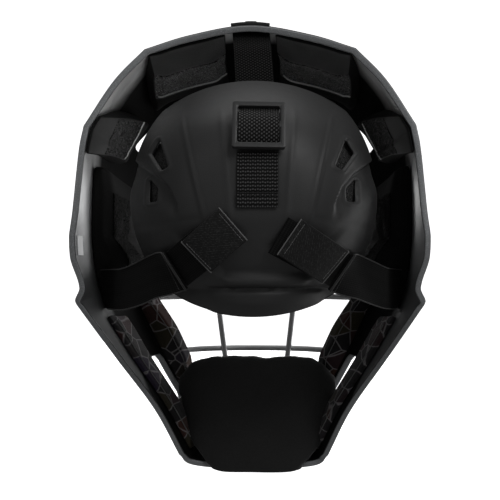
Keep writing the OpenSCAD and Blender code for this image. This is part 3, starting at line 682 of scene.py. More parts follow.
build_shell()
build_rim_line()

# ---- Padded pieces -------------------------------------------------------------------------
CLOTH_FRAMES = 20
swelling = []  # (object, base points, pinned points, cap, pressure), with lengths in millimetres


def random_wave(points, seed, size, height):
    """Smooth repeatable noise at points: a sum of a few waves with wavelengths near size, in millimetres."""
    waves = 7
    rng = np.random.default_rng(seed)
    out = np.zeros(len(points))
    for k in range(waves):
        direction = unit(rng.normal(size=3))
        pitch = 2 * math.pi / (size * rng.uniform(0.7, 1.5))
        out += np.sin(points @ direction * pitch + rng.uniform(0, 6.3))
    return out * height / waves * 1.6


def add_cloth(ob, pins, pressure):
    ob.vertex_groups.new(name="pin").add([int(i) for i in pins], 1.0, "REPLACE")
    cloth = ob.modifiers.new("cloth", "CLOTH")
    settings = cloth.settings
    settings.quality = 6
    settings.mass = 0.3
    settings.tension_stiffness = settings.compression_stiffness = 40
    settings.shear_stiffness = 20
    settings.bending_stiffness = 2.0
    settings.use_pressure = True
    settings.uniform_pressure_force = pressure
    settings.effector_weights.gravity = 0
    settings.vertex_group_mass = "pin"
    cloth.collision_settings.use_collision = False
    cloth.point_cache.frame_start, cloth.point_cache.frame_end = 1, CLOTH_FRAMES


def swell_all():
    """Runs the cloth of every padded piece together: pressure inside, no gravity, backs pinned."""
    for ob, base, pins, cap, pressure in swelling:
        add_cloth(ob, pins, pressure)
    for f in range(1, CLOTH_FRAMES + 1):
        bpy.context.scene.frame_set(f)
    graph = bpy.context.evaluated_depsgraph_get()
    swollen = []
    for ob, base, pins, cap, pressure in swelling:
        move = points_of(ob.evaluated_get(graph)) - base
        far = np.linalg.norm(move, axis=1, keepdims=True)
        swollen.append(base + move * np.minimum(1, cap / np.maximum(far, 1e-9)))
    bpy.context.scene.frame_set(1)
    for (ob, *rest), points in zip(swelling, swollen):
        ob.modifiers.remove(ob.modifiers["cloth"])
        ob.vertex_groups.clear()
        move_points(ob, points)


def patch(grid, us, vs):
    """Points and normals of a smooth surface through a grid, at shares us and vs of its two ways."""
    def pull(g, at):
        n = len(g)
        x = np.clip(np.asarray(at, float), 0, 1) * (n - 1)
        k = np.minimum(np.floor(x).astype(int), n - 2)
        a, b, c, d = g[np.maximum(k - 1, 0)], g[k], g[k + 1], g[np.minimum(k + 2, n - 1)]
        return hermite(b, c, (c - a) / 2, (d - b) / 2, (x - k)[:, None, None])
    q = np.swapaxes(pull(np.swapaxes(pull(grid, us), 0, 1), vs), 0, 1)
    return q, unit(np.cross(np.gradient(q, axis=0), np.gradient(q, axis=1)))


NEVER = 2.0


class Pad:
    """A foam pad on the inside of the shell: the CAD pad's form on a fine closed grid. Its back and, from
    the share dark_from of its depth on, its front are in the darker shaded side cloth, a painted shade."""

    def __init__(self, kind, suffix, material, slot, s_range, v_range, foam, cells, wedge=0.0, lean=(0, 0),
                 side=0.75, swell=((0, 1), (32, 1)), mirror=False, cap=2.5, v_list=None, dark_from=NEVER):
        n, m = cells
        i = np.linspace(0, 1, n)[:, None]
        v = np.array([np.linspace(*v_range, m) if v_list is None else v_list])
        s = s_range[0] + lean[0] * v + (s_range[1] - s_range[0] + (lean[1] - lean[0]) * v) * i
        v = np.broadcast_to(v, s.shape)
        width = np.linalg.norm(body_at(s[-1, m // 2], v[-1, m // 2]) - body_at(s[0, m // 2], v[0, m // 2]))
        deep = v_range[1] - v_range[0]
        sides = side + (1 - side) * smooth(np.minimum(i, 1 - i) * width / 11.0)
        port_end = 0.5 + 0.5 * smooth((v_range[1] - v) / (0.14 * deep))
        rim_end = 0.12 + 0.88 * np.minimum(1, v / wedge) if wedge else \
            0.55 + 0.45 * smooth((v - v_range[0]) / (0.16 * deep))
        share = np.minimum(sides, port_end) * rim_end * np.interp(s, *zip(*swell))
        back = under(s, v, PAD_BACK + 0.15)
        front = under(s, v, PAD_BACK + np.maximum(1, foam * share) - PAD_SHRINK)
        base = np.concatenate([back.reshape(-1, 3), front.reshape(-1, 3)])
        if mirror:
            base[:, 0] *= -1
        border = [k * m for k in range(n)] + [(n - 1) * m + k for k in range(1, m)] \
            + [k * m + m - 1 for k in range(n - 2, -1, -1)] + list(range(m - 2, 0, -1))
        verts = np.concatenate([base, base[border] * 0.5 + base[n * m + np.array(border)] * 0.5])
        faces = turned(grid_faces(n, m)) + grid_faces(n, m, base=n * m)
        ring = list(zip(border, range(2 * n * m, len(verts))))
        for (a, mid_a), (b, mid_b) in zip(ring, ring[1:] + ring[:1]):
            faces += [(a, b, mid_b, mid_a), (mid_a, mid_b, n * m + b, n * m + a)]
        # faces from dark_from on take the shaded side cloth: painted shade
        dark = [int(j >= dark_from * (m - 1)) for i in range(n - 1) for j in range(m - 1)]
        ids = [1] * len(dark) + dark + [int(dark_from < NEVER)] * (2 * len(border))
        self.n, self.m, self.mirror = n, m, mirror
        self.ob = make_mesh(f"{kind}_cushion{suffix}", verts, faces if mirror else turned(faces),
                            [material, shaded_side_cloth], ids, sharp=75)
        swelling.append((self.ob, verts, range(n * m), cap, PAD_PRESSURE))
        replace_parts(self.ob, f"{kind}_pad{suffix}")

    def front(self):
        """The front grid after the cloth has run, ordered so that its normals look away from the shell."""
        g = points_of(self.ob)[self.n * self.m:2 * self.n * self.m].reshape(self.n, self.m, 3)
        return g if self.mirror else g[::-1]

    def done(self):
        refine(self.ob)
        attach(self.ob, SHELL)

    def strip(self, name, us, vs, material, seed, lift=0.5, step=0.7, nap=0.22):
        """A thin cloth strip with a nap, sewn on the front of the pad."""
        g = self.front()
        across = np.linalg.norm(g[-1, self.m // 2] - g[0, self.m // 2]) * (us[1] - us[0])
        along = np.linalg.norm(np.diff(g[self.n // 2], axis=0), axis=1).sum() * (vs[1] - vs[0])
        nu, nv = max(4, int(across / step)), max(4, int(along / step))
        top, normal = patch(g, np.linspace(*us, nu), np.linspace(*vs, nv))
        rough = np.random.default_rng(seed).normal(size=(nu, nv)) * nap
        outer = top + normal * (lift + rough[..., None])
        verts, faces, *_ = solid_sheet(outer, top - normal * 0.4, grid_faces(nu, nv), 0.3, 2)
        ob = make_mesh(name, verts, faces, [material], sharp=85)
        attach(ob, SHELL)

    def line(self, name, us, v, radius, material, lift=0.2, slot="black_foam_fabric"):
        """A cord of piping or thread across the front of the pad, at the share v of its depth."""
        g = self.front()
        points = []
        for u in np.clip(np.linspace(*us, 80), 0.012, 0.988)[::4]:
            q, normal = patch(g, [u - 0.01, u, u + 0.01], [v - 0.01, v, v + 0.01])
            points.append(q[1, 1] + normal[1, 1] * lift)
        verts, faces = tube_mesh(spline(points, 1.6)[0], radius, 8)
        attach(make_mesh(name, verts, faces, [material], sharp=60), SHELL)


HEAD_V = [0.012, 0.02, 0.035, 0.05, 0.07, 0.09, 0.11, 0.13, 0.15, 0.16, 0.17, 0.19, 0.22, 0.26, 0.3, 0.35,
          0.4, 0.45, 0.5, 0.54, 0.565, 0.58]
TEMPLE_V = [0.012, 0.03, 0.06, 0.1, 0.14, 0.18, 0.22, 0.26, 0.3, 0.34, 0.37, 0.39, 0.405, 0.42, 0.45, 0.49,
            0.53, 0.56, 0.58]
FOAM = 14.0
PAD_BACK, PAD_SHRINK, PAD_PRESSURE = WALL + 0.5, 0.4, 3.0
FOAM_SLOT, PRINT_SLOT = "black_foam_fabric", "printed_fabric"
SIDE_PADS = {
    "crown": dict(material=foam_cloth, slot=FOAM_SLOT, s_range=(0.42, 1.98), v_range=(0.012, 0.58), foam=FOAM,
                  wedge=0.16, lean=(0.1, 0.8), cells=(18, 22), cap=1.6, v_list=HEAD_V, dark_from=0.8),
    "temple": dict(material=shaded_temple_cloth, slot=FOAM_SLOT, s_range=(3.72, 5.05), v_range=(0.012, 0.58),
                   foam=FOAM * 1.35, wedge=0.4, lean=(-1.4, -0.8), side=0.95, cells=(14, 19), cap=1.4,
                   v_list=TEMPLE_V, dark_from=0.74),
    # the ear pads are all in the shaded side cloth: painted shade
    "ear": dict(material=shaded_side_cloth, slot=FOAM_SLOT, s_range=(5.1, 8.8), v_range=(0.3, 0.86), foam=FOAM,
                swell=((5.1, 1), (7.0, 1), (8.0, 1.7), (8.8, 1.7)), cells=(22, 18), cap=3.0),
    "cheek": dict(material=print_cloth, slot=PRINT_SLOT, s_range=(9, 12.7), v_range=(0.82, 0.99), foam=10.0,
                  swell=((9, 0.85), (11, 0.95), (11.6, 1.5), (12.2, 1.5), (12.7, 1)), cells=(30, 12),
                  cap=2.0),
    "jaw": dict(material=print_cloth, slot=PRINT_SLOT, s_range=(11.2, 14.1), v_range=(0.17, 0.53), foam=6.0,
                cells=(30, 16), cap=2.0),
}
SIDES = ("right", "left")
pads = {(kind, side): Pad(kind, "_" + side, mirror=side == "left", **shape)
        for side in SIDES for kind, shape in SIDE_PADS.items()}
pads["forehead"] = Pad("forehead", "", foam_cloth, FOAM_SLOT, (-1.85, 1.85), (0.62, 0.96), FOAM * 0.8,
                       cells=(28, 16))

# Chin pad: closed side profile of y, z and half width, swept across x with crowned ends
CHIN = np.array([
    [46, -165, 48], [46, -171, 42], [52, -174, 40], [56.5, -160.5, 42], [66, -153, 44], [98, -149.5, 42],
    [108, -138, 42], [108, -116, 46], [104, -98, 51], [97, -85, 56], [88, -81, 62], [78, -86, 65],
    [70, -102, 66], [60, -126, 60], [50, -150, 57]], float)
CHIN_SHIFT, CHIN_MID = 2.0, np.array([80.0, -128.0])
# the shares of its width and of its profile that the cushion swells from
CHIN_WIDTH_FIT, CHIN_SIDE_FIT = 0.975, 0.985
CHIN_VOXEL, CHIN_CAP, CHIN_PRESSURE = 4.5, 4.0, 4.0


def chin_points(rings=25, around=60):
    closed = np.vstack([CHIN, CHIN[:1]])
    length = np.concatenate([[0], np.cumsum(np.linalg.norm(np.diff(closed[:, :2], axis=0), axis=1))])
    at = np.linspace(0, length[-1], around, endpoint=False)
    side = np.stack([np.interp(at, length, closed[:, k]) for k in range(3)], 1)
    for _ in range(2):
        side = 0.5 * side + 0.25 * (np.roll(side, 1, 0) + np.roll(side, -1, 0))
    verts = []
    for u in np.linspace(-1, 1, rings):
        pull = 1 - 0.45 * abs(u) ** 6
        drop = 0.55 * pull + 0.45
        round_end = 1 - 0.10 * smooth((abs(u) - 0.8) / 0.2)
        yz = CHIN_MID + (side[:, :2] - CHIN_MID) * [pull, drop] * round_end * CHIN_SIDE_FIT
        verts.append(np.column_stack([CHIN_SHIFT + u * side[:, 2] * CHIN_WIDTH_FIT, yz]))
    faces = grid_faces(rings, around, wrap_v=True)
    faces.append(tuple(reversed(range(around))))
    faces.append(tuple(range((rings - 1) * around, rings * around)))
    return np.concatenate(verts), turned(faces)


def voxel(ob, size):
    """Remeshes an object evenly, which is what the cloth needs."""
    mod = ob.modifiers.new("even", "REMESH")
    mod.mode, mod.voxel_size, mod.use_smooth_shade = "VOXEL", size * MM, True
    graph = bpy.context.evaluated_depsgraph_get()
    me = bpy.data.meshes.new_from_object(ob.evaluated_get(graph))
    ob.modifiers.clear()
    ob.data = me


def build_chin():
    verts, faces = chin_points()
    ob = make_mesh("chin_cushion", verts, faces, [plush_cloth], sharp=180)
    voxel(ob, CHIN_VOXEL)
    base = points_of(ob)
    low = [i for i, p in enumerate(base) if p[1] > 100 or (p[2] < -140 and p[1] > 70)]
    swelling.append((ob, base, low, CHIN_CAP, CHIN_PRESSURE))
    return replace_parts(ob, "chin_pad")


def crease_chin(ob):
    """Creases and small rolls of the chin pad's cover, strongest along its upper edge."""
    co = points_of(ob)
    edge_share = smooth((co[:, 2] + 104) / 14) * smooth((co[:, 1] - 62) / 12)
    wide = co * [1.0, 0.5, 0.5]
    co[:, 2] += (random_wave(wide, 5, 16, 1.3) + random_wave(wide, 6, 8, 0.6)) * edge_share
    co[:, 1] += random_wave(co, 7, 30, 0.7)
    move_points(ob, co)
    ob.data.shade_smooth()
    refine(ob)
    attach(ob, SHELL)


chin = build_chin()
swell_all()
for pad in pads.values():
    pad.done()
crease_chin(chin)
for side in SIDES:
    crown, temple, ear, cheek, jaw = (pads[kind, side] for kind in SIDE_PADS)
    crown.strip(f"crown_loop_{side}", (0.02, 0.98), (0.49, 0.78), loop_cloth, 3)
    # the pale edge cords are piping coloured as a painted highlight
    crown.line(f"crown_edge_{side}", (0.02, 0.98), 0.785, 0.6, piping_and_painted_highlight, 0.8)
    temple.strip(f"temple_loop_{side}", (0.03, 0.97), (0.28, 0.69), shaded_temple_loop, 4)
    temple.line(f"temple_edge_{side}", (0.02, 0.98), 0.715, 0.6, piping_and_painted_highlight, 0.5)
    jaw.line(f"jaw_stitch_{side}", (0.04, 0.96), 0.10, 0.4, thread, slot=PRINT_SLOT)
    cheek.line(f"cheek_stitch_{side}", (0.03, 0.97), 0.12, 0.35, thread, slot=PRINT_SLOT)
    ear.strip(f"ear_loop_{side}", (0.12, 0.88), (0.14, 0.6), shaded_loop, 5, lift=0.4)

# ---- Back plate ----------------------------------------------------------------------------
VENT_OUTLINES = [[[60, 71], [65.5, 62], [57, 50], [52.5, 52]],
                 [[68.5, 46], [66.5, 30], [61, 30.5], [61.5, 39]]]
SLOT = [[-7.5, 71], [22.5, 71], [22.5, 85], [-7.5, 85]]
SLOT_ROUND, OUTLINE_ROUND = 2.0, 0.8
SCOOP_DEPTH, LIP_UP, LIP_AT, GROOVE_DEPTH, GROOVE_AT = 4.0, 1.8, -19.8, 2.0, -25.2
FLANGE_TOP, FLANGE_OUT, FLANGE_RUN = -25.5, 14.0, 17.0
SWOOSH_X, SWOOSH_Z = [46, 48, 49.5, 54, 61, 79, 90], [16, 22, 29, 39.3, 47, 59.4, 66]


def plate_holes(x, z):
    across = np.abs(x - PLATE_X)
    best = rounded(x, z, SLOT, SLOT_ROUND)
    for outline in VENT_OUTLINES:
        best = np.minimum(best, rounded(across, z, outline, OUTLINE_ROUND))
    return best


def plate_relief(x, z):
    """Moulded relief of the plate in millimetres out of its dome."""
    # the moulding's middle leans to the right of the dome's, most of all low down
    turn = 4.5 * (1 - ((x - PLATE_X) / 78) ** 2) + 5 * smooth((5 - z) / 20)
    across = np.abs(x - PLATE_X - turn)
    step_z = np.interp(across, SWOOSH_X, SWOOSH_Z)
    below = step_z - z
    h = -2.6 * smooth(below / 1.6) * (1 - smooth((below - 8) / 18))
    h *= smooth((across - 46.5) / 5) * smooth((z - 16) / 16)
    # centre panel with its slanted edge ridges, and two faint ribs
    ridge = across - (27.9 + 0.236 * z)
    tall = smooth((z - 10) / 14) * smooth((92 - z) / 16)
    h += tall * (0.85 * bell(ridge / 1.7) + 0.7 * smooth(-ridge / 4))
    h += 0.4 * tall * bell((across - (15.6 + 0.085 * z)) / 1.9)
    # side grooves and the fall below them
    fall = z - (23.6 - 0.128 * across)
    wide = smooth((across - 32) / 8) * (1 - smooth((across - 74) / 5))
    h += wide * (-0.4 * bell(fall / 2.4) - 0.9 * smooth(-fall / 12))
    # finger scoop, its rounded lip and the groove over the bottom flange
    lens = 1 - smooth((across - 26 - 0.9 * (z + 16)) / 7)
    h -= lens * SCOOP_DEPTH * smooth((20 - z) / 30) * smooth((z - LIP_AT) / 4.6)
    h += lens * LIP_UP * bell((z - LIP_AT) / 2.4)
    h -= GROOVE_DEPTH * (1 - smooth((across - 33) / 8)) * bell((z - GROOVE_AT) / 1.5)
    rim = plate_holes(x, z)
    rim = np.where(rounded(x, z, SLOT, SLOT_ROUND) < 6, 9.0, rim)
    return h + 0.6 * bell((rim - 1.7) / 0.9) - 0.5 * smooth(1.0 - rim)


def build_plate(count=181):
    a, b = np.meshgrid(np.linspace(-1, 1, count), np.linspace(-1, 1, count), indexing="ij")
    x, z = plate_xz(a, b)
    x, z, faces = cut_grid(x, z, plate_holes, False)
    x, z = x.ravel(), z.ravel()
    h = plate_relief(x, z)
    # the wall thins towards each vent
    thin = 1.3 * smooth((6 - plate_holes(x, z)) / 5) * (np.abs(x - PLATE_X) > 40)
    # and the bottom flange stands off towards its edge
    flare = np.stack([0 * z, -FLANGE_OUT * np.clip((FLANGE_TOP - z) / FLANGE_RUN, 0, 1.1), 0 * z], 1)
    outer, inner = plate_at(x, z, h) + flare, plate_at(x, z, 0.8 * h - PLATE_WALL + thin) + flare
    verts, faces, *_ = solid_sheet(outer, inner, faces)
    ob = make_mesh("plate_skin", verts, faces, [plate_plastic], sharp=60)
    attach(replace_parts(ob, "back_plate"), PLATE)


def build_lining(n=34, m=30, half=0.87, low=0.77, gap=1.9, rim=3.6, puff=3.8):
    """The lining over the shares -half to half across the plate and from -low up. gap and rim are how far its
    face and its edge stand off the wall, and puff how much its middle swells."""
    a, t = np.meshgrid(np.linspace(-half, half, n), np.linspace(0, 1, m), indexing="ij")
    top = 0.36 + 0.24 * smooth((np.abs(a) - 0.42) / 0.2)
    x, z = plate_xz(a, -low + (top + low) * t)
    edge = np.minimum(np.minimum(1 + a / half, 1 - a / half), np.minimum(t, 1 - t) * 2)
    waves = random_wave(np.stack([x.ravel(), z.ravel(), z.ravel()], 1), 9, 26, 0.5).reshape(x.shape)
    outer = plate_at(x, z, -PLATE_WALL - gap)
    inner = plate_at(x, z, -PLATE_WALL - rim - puff * smooth(edge / 0.22) + waves * (edge > 0.05))
    verts, faces, *_ = solid_sheet(outer, inner, grid_faces(n, m), 0.8)
    ob = make_mesh("plate_lining", verts, faces, [lining_cloth], sharp=80)
    refine(ob)
    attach(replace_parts(ob, "back_plate_pad"), PLATE)


build_plate()
build_lining()

# ---- Straps --------------------------------------------------------------------------------
def webbing(stagger):
    """Nylon webbing: warp columns across the width, every second one with its floats a part of a step on."""
    column_w, float_l = 1.5, 2.15

    def relief(u, v):
        column = np.floor(u / column_w)
        ridge = np.abs(np.sin(math.pi * (u / column_w))) ** 0.5
        return ridge * np.abs(np.sin(math.pi * (v / float_l + stagger * (column % 2)))) ** 1.5
    return relief


flat_webbing, bent_webbing = webbing(0.14), webbing(0.45)


def elastic_relief(u, v):
    """Knitted elastic: fine lengthways ribs broken by the cross yarns."""
    return 0.65 * np.abs(np.sin(math.pi * u / 1.1)) + 0.35 * np.abs(np.sin(math.pi * v / 0.9))


def nap_relief(u, v):
    """Brushed hook-and-loop tape: a fine diagonal twill under an uneven nap."""
    twill = 0.5 + 0.5 * np.sin(2 * math.pi * (u + v) / 1.5)
    rng = np.random.default_rng(11)
    return 0.55 * twill + 0.45 * rng.random(np.shape(u))


def ribbon(name, path, width, thick, relief, amount, material, body=None, step=0.45, crown=0.0,
           node=()):
    """A woven strap. Each row of path is a point and the way that the face looks; the strap's other face is
    on the point. amount is the weave's depth in millimetres."""
    rows, at = spline(path, step)
    p, n = rows[:, :3], rows[:, 3:6]
    h = unit(np.gradient(p, axis=0))
    n = unit(n - np.sum(n * h, 1, keepdims=True) * h)
    side = np.cross(n, h)
    across = np.linspace(-0.5, 0.5, max(6, int(round(width / step)) + 1))
    u, v = np.meshgrid(across * width, at, indexing="ij")
    w = relief(u + 500, v + 500)
    bow = crown * (1 - (2 * across[:, None]) ** 2) * np.ones_like(v)
    mid = p[None] + side[None] * u[..., None] + n[None] * bow[..., None]
    top = mid + n[None] * (thick + amount * (w - 0.5))[..., None]
    low = mid - n[None] * (amount * (w - 0.5))[..., None]
    faces = grid_faces(len(across), len(at))
    if float(np.sum(np.cross(mid[1, 0] - mid[0, 0], mid[0, 1] - mid[0, 0]) * n[0])) < 0:
        faces = turned(faces)
    verts, faces, _, keep = solid_sheet(top, low, faces, 0.4 * thick)
    height = np.full(len(verts), 0.45)
    height[:2 * len(keep)] = np.tile(w.ravel()[keep], 2)
    ob = make_mesh(name, verts, faces, [material], sharp=80, relief=height)
    if node:
        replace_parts(ob, *node)
    if body:
        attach(ob, body)
    return ob


def rows_of(points, normals):
    return np.hstack([np.asarray(points, float), np.asarray(normals, float)])


def cross_line(path, at_share, width, thick, lift, ends=0.47):
    """Points across a strap at a share of its length, for a seam or a row of stitches on its face."""
    rows, _ = spline(path, 0.5)
    k = int(round(at_share * (len(rows) - 1)))
    p, n = rows[k, :3], rows[k, 3:6]
    h = unit(rows[min(k + 1, len(rows) - 1), :3] - rows[max(k - 1, 0), :3])
    n = unit(n - (n @ h) * h)
    side = np.cross(n, h)
    return [p + side * width * t + n * (thick + lift) for t in np.linspace(-ends, ends, 12)]


def stitch_row(points, pitch=2.2, radius=0.22):
    """Small stitches along a line."""
    fine, _ = spline(points, pitch / 3)
    return merge([tube_mesh(fine[k:k + 3], radius, 6) for k in range(0, len(fine) - 2, 3)])


def sewn(name, parts, material):
    """Seams, stitches or weld beads as one piece."""
    verts, faces = merge(parts)
    return make_mesh(name, verts, faces, [material], sharp=60)


WEB_STEP = 0.34
WEB_W, WEB_T = 25.4, 1.6
ELASTIC_W, STRAP_T, LOOP_W, TAB_W = 28.0, 2.0, 25.0, 26.0
STRAP_X, BUCKLE_X, BUCKLE_Z = 1.0, 7.5, 74.0
TAIL_X = BUCKLE_X - 0.6
ROUTE = np.array([[-38, 143], [-43, 136.5], [-49, 127], [-54, 117.5], [-59, 107], [-66, 99], [-76, 93],
                  [-89, 87], [-101, 82], [-113.5, 76.5]], float)


def top_webbing():
    along = unit(np.gradient(ROUTE, axis=0))
    face = np.stack([np.zeros(len(ROUTE)), along[:, 1], -along[:, 0]], 1)
    x = np.linspace(STRAP_X, BUCKLE_X, len(ROUTE))
    route = np.column_stack([x, ROUTE]) + face * WEB_T
    v = np.array([0.235, 0.2, 0.16, 0.12, 0.08, 0.045])
    wall = under(0, v, WALL + 0.9)
    wall[:, 0] += 0.5
    path = np.vstack([rows_of(wall, -body_normal(0, v)), rows_of(route[1:], -face[1:])])
    ob = ribbon("top_webbing", path, WEB_W, WEB_T, bent_webbing, 0.6, shaded_webbing,
                node=("top_strap", "top_strap_anchor"), step=WEB_STEP)
    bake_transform(ob)


def on_plate_frame(x, z, lift=0.0):
    """A place on the plate and its ways up and out."""
    n = plate_normal(x, z)
    raw = plate_at(x, z + 1) - plate_at(x, z)
    up = unit(raw - (raw @ n) * n)
    return plate_at(x, z, lift), up, n


def buckle_webbing():
    o, up, n = on_plate_frame(BUCKLE_X, BUCKLE_Z, 3.4)
    half = [[0, 3.7], [3, 3.4], [6, 2.3], [8.5, 0.9], [11, -1.1], [13.4, -2.0], [15.5, -2.1]]
    route = half[:0:-1] + [[-y, z] for y, z in half]
    path = rows_of([o + up * y + n * z for y, z in route], [n] * len(route))
    ribbon("buckle_webbing", path, WEB_W - 0.3, WEB_T, bent_webbing, 0.6, webbing_cloth,
           BUCKLE, node=("top_strap_loop",), step=WEB_STEP)


def tail_webbing():
    zs = np.array([60, 55, 50, 44, 38, 32, 27])
    lift = np.array([-0.2, 0.1, 0.5, 0.7, 0.8, 0.8, 0.8])
    path = rows_of(plate_at(TAIL_X, zs, lift), plate_normal(TAIL_X, zs))
    ribbon("tail_webbing", path, WEB_W, WEB_T, flat_webbing, 0.6, webbing_cloth, PLATE,
           node=("top_strap_tail",), step=WEB_STEP)
    zs = np.array([35, 32.5, 30, 27.5, 26.2])
    lift = np.array([2.3, 2.4, 2.4, 2.2, 1.7])
    hem = rows_of(plate_at(TAIL_X, zs, lift), plate_normal(TAIL_X, zs))
    ribbon("tail_hem", hem, WEB_W - 0.2, 1.2, flat_webbing, 0.4, webbing_cloth, PLATE,
           step=WEB_STEP)
    row = stitch_row(cross_line(hem, 0.25, WEB_W, 1.2, 0.15))
    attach(sewn("tail_stitches", [row], webbing_cloth), PLATE)


ELASTIC_S = 9.4
SEAMS = {"right": (55.4, -10.6), "left": (-41.6, -9.6)}
TIPS = {"right": (19.4, 9.4), "left": (-9.3, 14.6)}
TABS = {"right": ((25.6, 8.8), (52.2, -8.0)), "left": ((-7.6, 16.0), (-29.0, -2.2))}
FREE = {
    "right": [[98, -18, -27, -1, 0.5, 0], [91, -38, -25.5, -1, 0.6, 0], [82, -57, -22, -1, 0.8, 0],
              [71, -74, -17.5, -0.8, 1, 0]],
    "left": [[97, -20, -27.5, -1, 0.5, 0], [86, -45, -26.5, -1, 0.6, 0], [73, -67, -22.5, -0.9, 1, 0],
             [59, -86, -16.5, -0.7, 1, 0]],
}
SEAM_LIFT = 6.8


def side_strap(side_name):
    sign = 1 if side_name == "right" else -1
    flip = np.array([sign, 1, 1, sign, 1, 1], float)
    v = np.array([0.56, 0.5, 0.44, 0.38, 0.32])
    wall = rows_of(under(ELASTIC_S, v, WALL + 1.6), -body_normal(ELASTIC_S, v)) * flip
    seam = np.array(SEAMS[side_name])
    end = np.concatenate([plate_at(*seam, SEAM_LIFT), -plate_normal(*seam)])
    path = np.vstack([wall, np.array(FREE[side_name], float) * flip, [end]])
    ob = ribbon(f"elastic_band_{side_name}", path, ELASTIC_W, STRAP_T, elastic_relief, 0.18, elastic_cloth,
                node=(f"elastic_{side_name}",), step=0.6)
    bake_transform(ob)
    # the elastic's face that shows is the one on the path, so seams sit below it
    parts = [tube_mesh(spline(cross_line(path, 0.996, ELASTIC_W, 0, -0.3, 0.5), 1.5)[0], 0.7, 8),
             stitch_row(cross_line(path, 0.975, ELASTIC_W, 0, -0.12))]
    # pale cords along both edges: a painted highlight on the elastic's edges
    for edge in (-0.495, 0.495):
        shares = np.linspace(0.02, 0.99, 60)
        line = [cross_line(path, share, ELASTIC_W, 0, -0.15, edge)[-1] for share in shares]
        parts.append(tube_mesh(line, 0.42, 6))
    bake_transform(sewn(f"elastic_seams_{side_name}", parts, seam_and_painted_highlight))

    tip = np.array(TIPS[side_name])
    x, z = np.linspace(seam + 5 * unit(seam - tip), tip, 8).T
    base = rows_of(plate_at(x, z, 0.6), plate_normal(x, z))
    ribbon(f"base_strap_{side_name}", base, LOOP_W, STRAP_T - 0.1, elastic_relief, 0.16, elastic_cloth,
           PLATE, node=(f"loop_strap_{side_name}",), step=0.6)

    x, z = np.linspace(TABS[side_name][1], TABS[side_name][0], 9).T
    curl = np.array([0.25, 0.1, 0, 0, 0, 0, 0, 0.1, 0.25])
    tab = rows_of(plate_at(x, z, 3.4 + curl), plate_normal(x, z))
    body = TAB_R if side_name == "right" else TAB_L
    ribbon(f"tab_{side_name}_tape", tab, TAB_W, STRAP_T, nap_relief, 0.25, strap_cloth, body,
           node=(f"strap_tab_{side_name}",), step=0.55, crown=0.3)
    parts = []
    # pale hems at the tab's ends: a painted highlight on its edges
    for share, sink, radius in ((0.004, -0.55, 0.65), (0.996, -0.8, 0.5)):
        hem = cross_line(tab, share, TAB_W, STRAP_T, sink, 0.49)
        parts.append(tube_mesh(spline(hem, 1.5)[0], radius, 8))
    for share in (0.07, 0.93):
        parts.append(stitch_row(cross_line(tab, share, TAB_W, STRAP_T, 0.2, 0.44), 2.0, 0.2))
    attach(sewn(f"tab_{side_name}_edges", parts, hem_and_painted_highlight), body)


top_webbing()
buckle_webbing()
tail_webbing()
side_strap("right")
side_strap("left")

# ---- Cage ----------------------------------------------------------------------------------
WIRE_D, BOW, RIM_V = 4.6, 30.0, 0.965
WIRE_R = WIRE_D / 2
BEAD_R = 2.1
CROSS = [[3.6, 0.75], [8.4, 1.25], [10.7, 1.3], [12.02, 1.3], [12.8, 1], [13.4, 0.66]]
UPRIGHT_Z, UPRIGHT_X = [-136, -92, -55, 0, 42, 64], [20, 25.5, 30.5, 34, 38, 42]


def rim_wire(s):
    return under(s, RIM_V, -(WIRE_R + 1.1))


def cross_at(s, share, u):
    p = rim_wire(s)
    return np.array([p[0] * u, p[1] + WIRE_D * 0.9 + BOW * share * (1 - abs(u) ** 2.6), p[2]])


def upright(sign):
    points = [rim_wire(1.75) + [0, WIRE_D * 0.9, 0]]
    for s, share in CROSS:
        p = rim_wire(s)
        x = np.interp(p[2], UPRIGHT_Z, UPRIGHT_X)
        points.append(cross_at(s, share, x / p[0]) - [0, WIRE_D * 0.94, 0])
    points.append(rim_wire(15.35) + [0, WIRE_D * 0.9, 0])
    return np.array(points) * [sign, 1, 1]


def wires(name, paths, node, closed=False):
    ob = tubes(name, paths, WIRE_R, cage_metal, closed, 16)
    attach(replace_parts(ob, node), SHELL)


def bead(middle, ahead, ends):
    """Weld bead that swells between its thin ends, from middle - ahead to middle + ahead."""
    return tube_mesh([middle - ahead, middle, middle + ahead], [ends, BEAD_R, ends], 12)


def build_cage():
    wires("rim_wire", [rim_wire(np.linspace(0, TURN, 241)[:-1])], "cage_rim_wire", True)
    crossing = [np.array([cross_at(s, share, u) for u in np.linspace(-1, 1, 61)]) for s, share in CROSS]
    wires("cross_wires", crossing, "cage_cross_wires")
    posts = [upright(1), upright(-1)]
    wires("upright_wires", [spline(p, 2.5)[0] for p in posts], "cage_uprights")
    beads = []
    sunk = np.array([0, WIRE_D * 0.45, 0])
    for p in posts:
        for before, q, after in zip(p, p[1:], p[2:]):
            c = q + [0, WIRE_D * 0.47, 0]
            ahead = unit(after - before) * 2.2
            line = [c - ahead, c - ahead * 0.4, c + ahead * 0.4, c + ahead]
            beads.append(tube_mesh(line, [1.3, BEAD_R, BEAD_R, 1.3], 12))
        for q, inner in ((p[0], p[1]), (p[-1], p[-2])):
            beads.append(bead(q - sunk, unit(inner - q) * 1.8, 1.4))
    for wire in crossing:
        beads += [bead(q - sunk, np.array([2.4, 0, 0]), 1.4) for q in (wire[0], wire[-1])]
    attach(sewn("cage_welds", beads, cage_metal), SHELL)


build_cage()


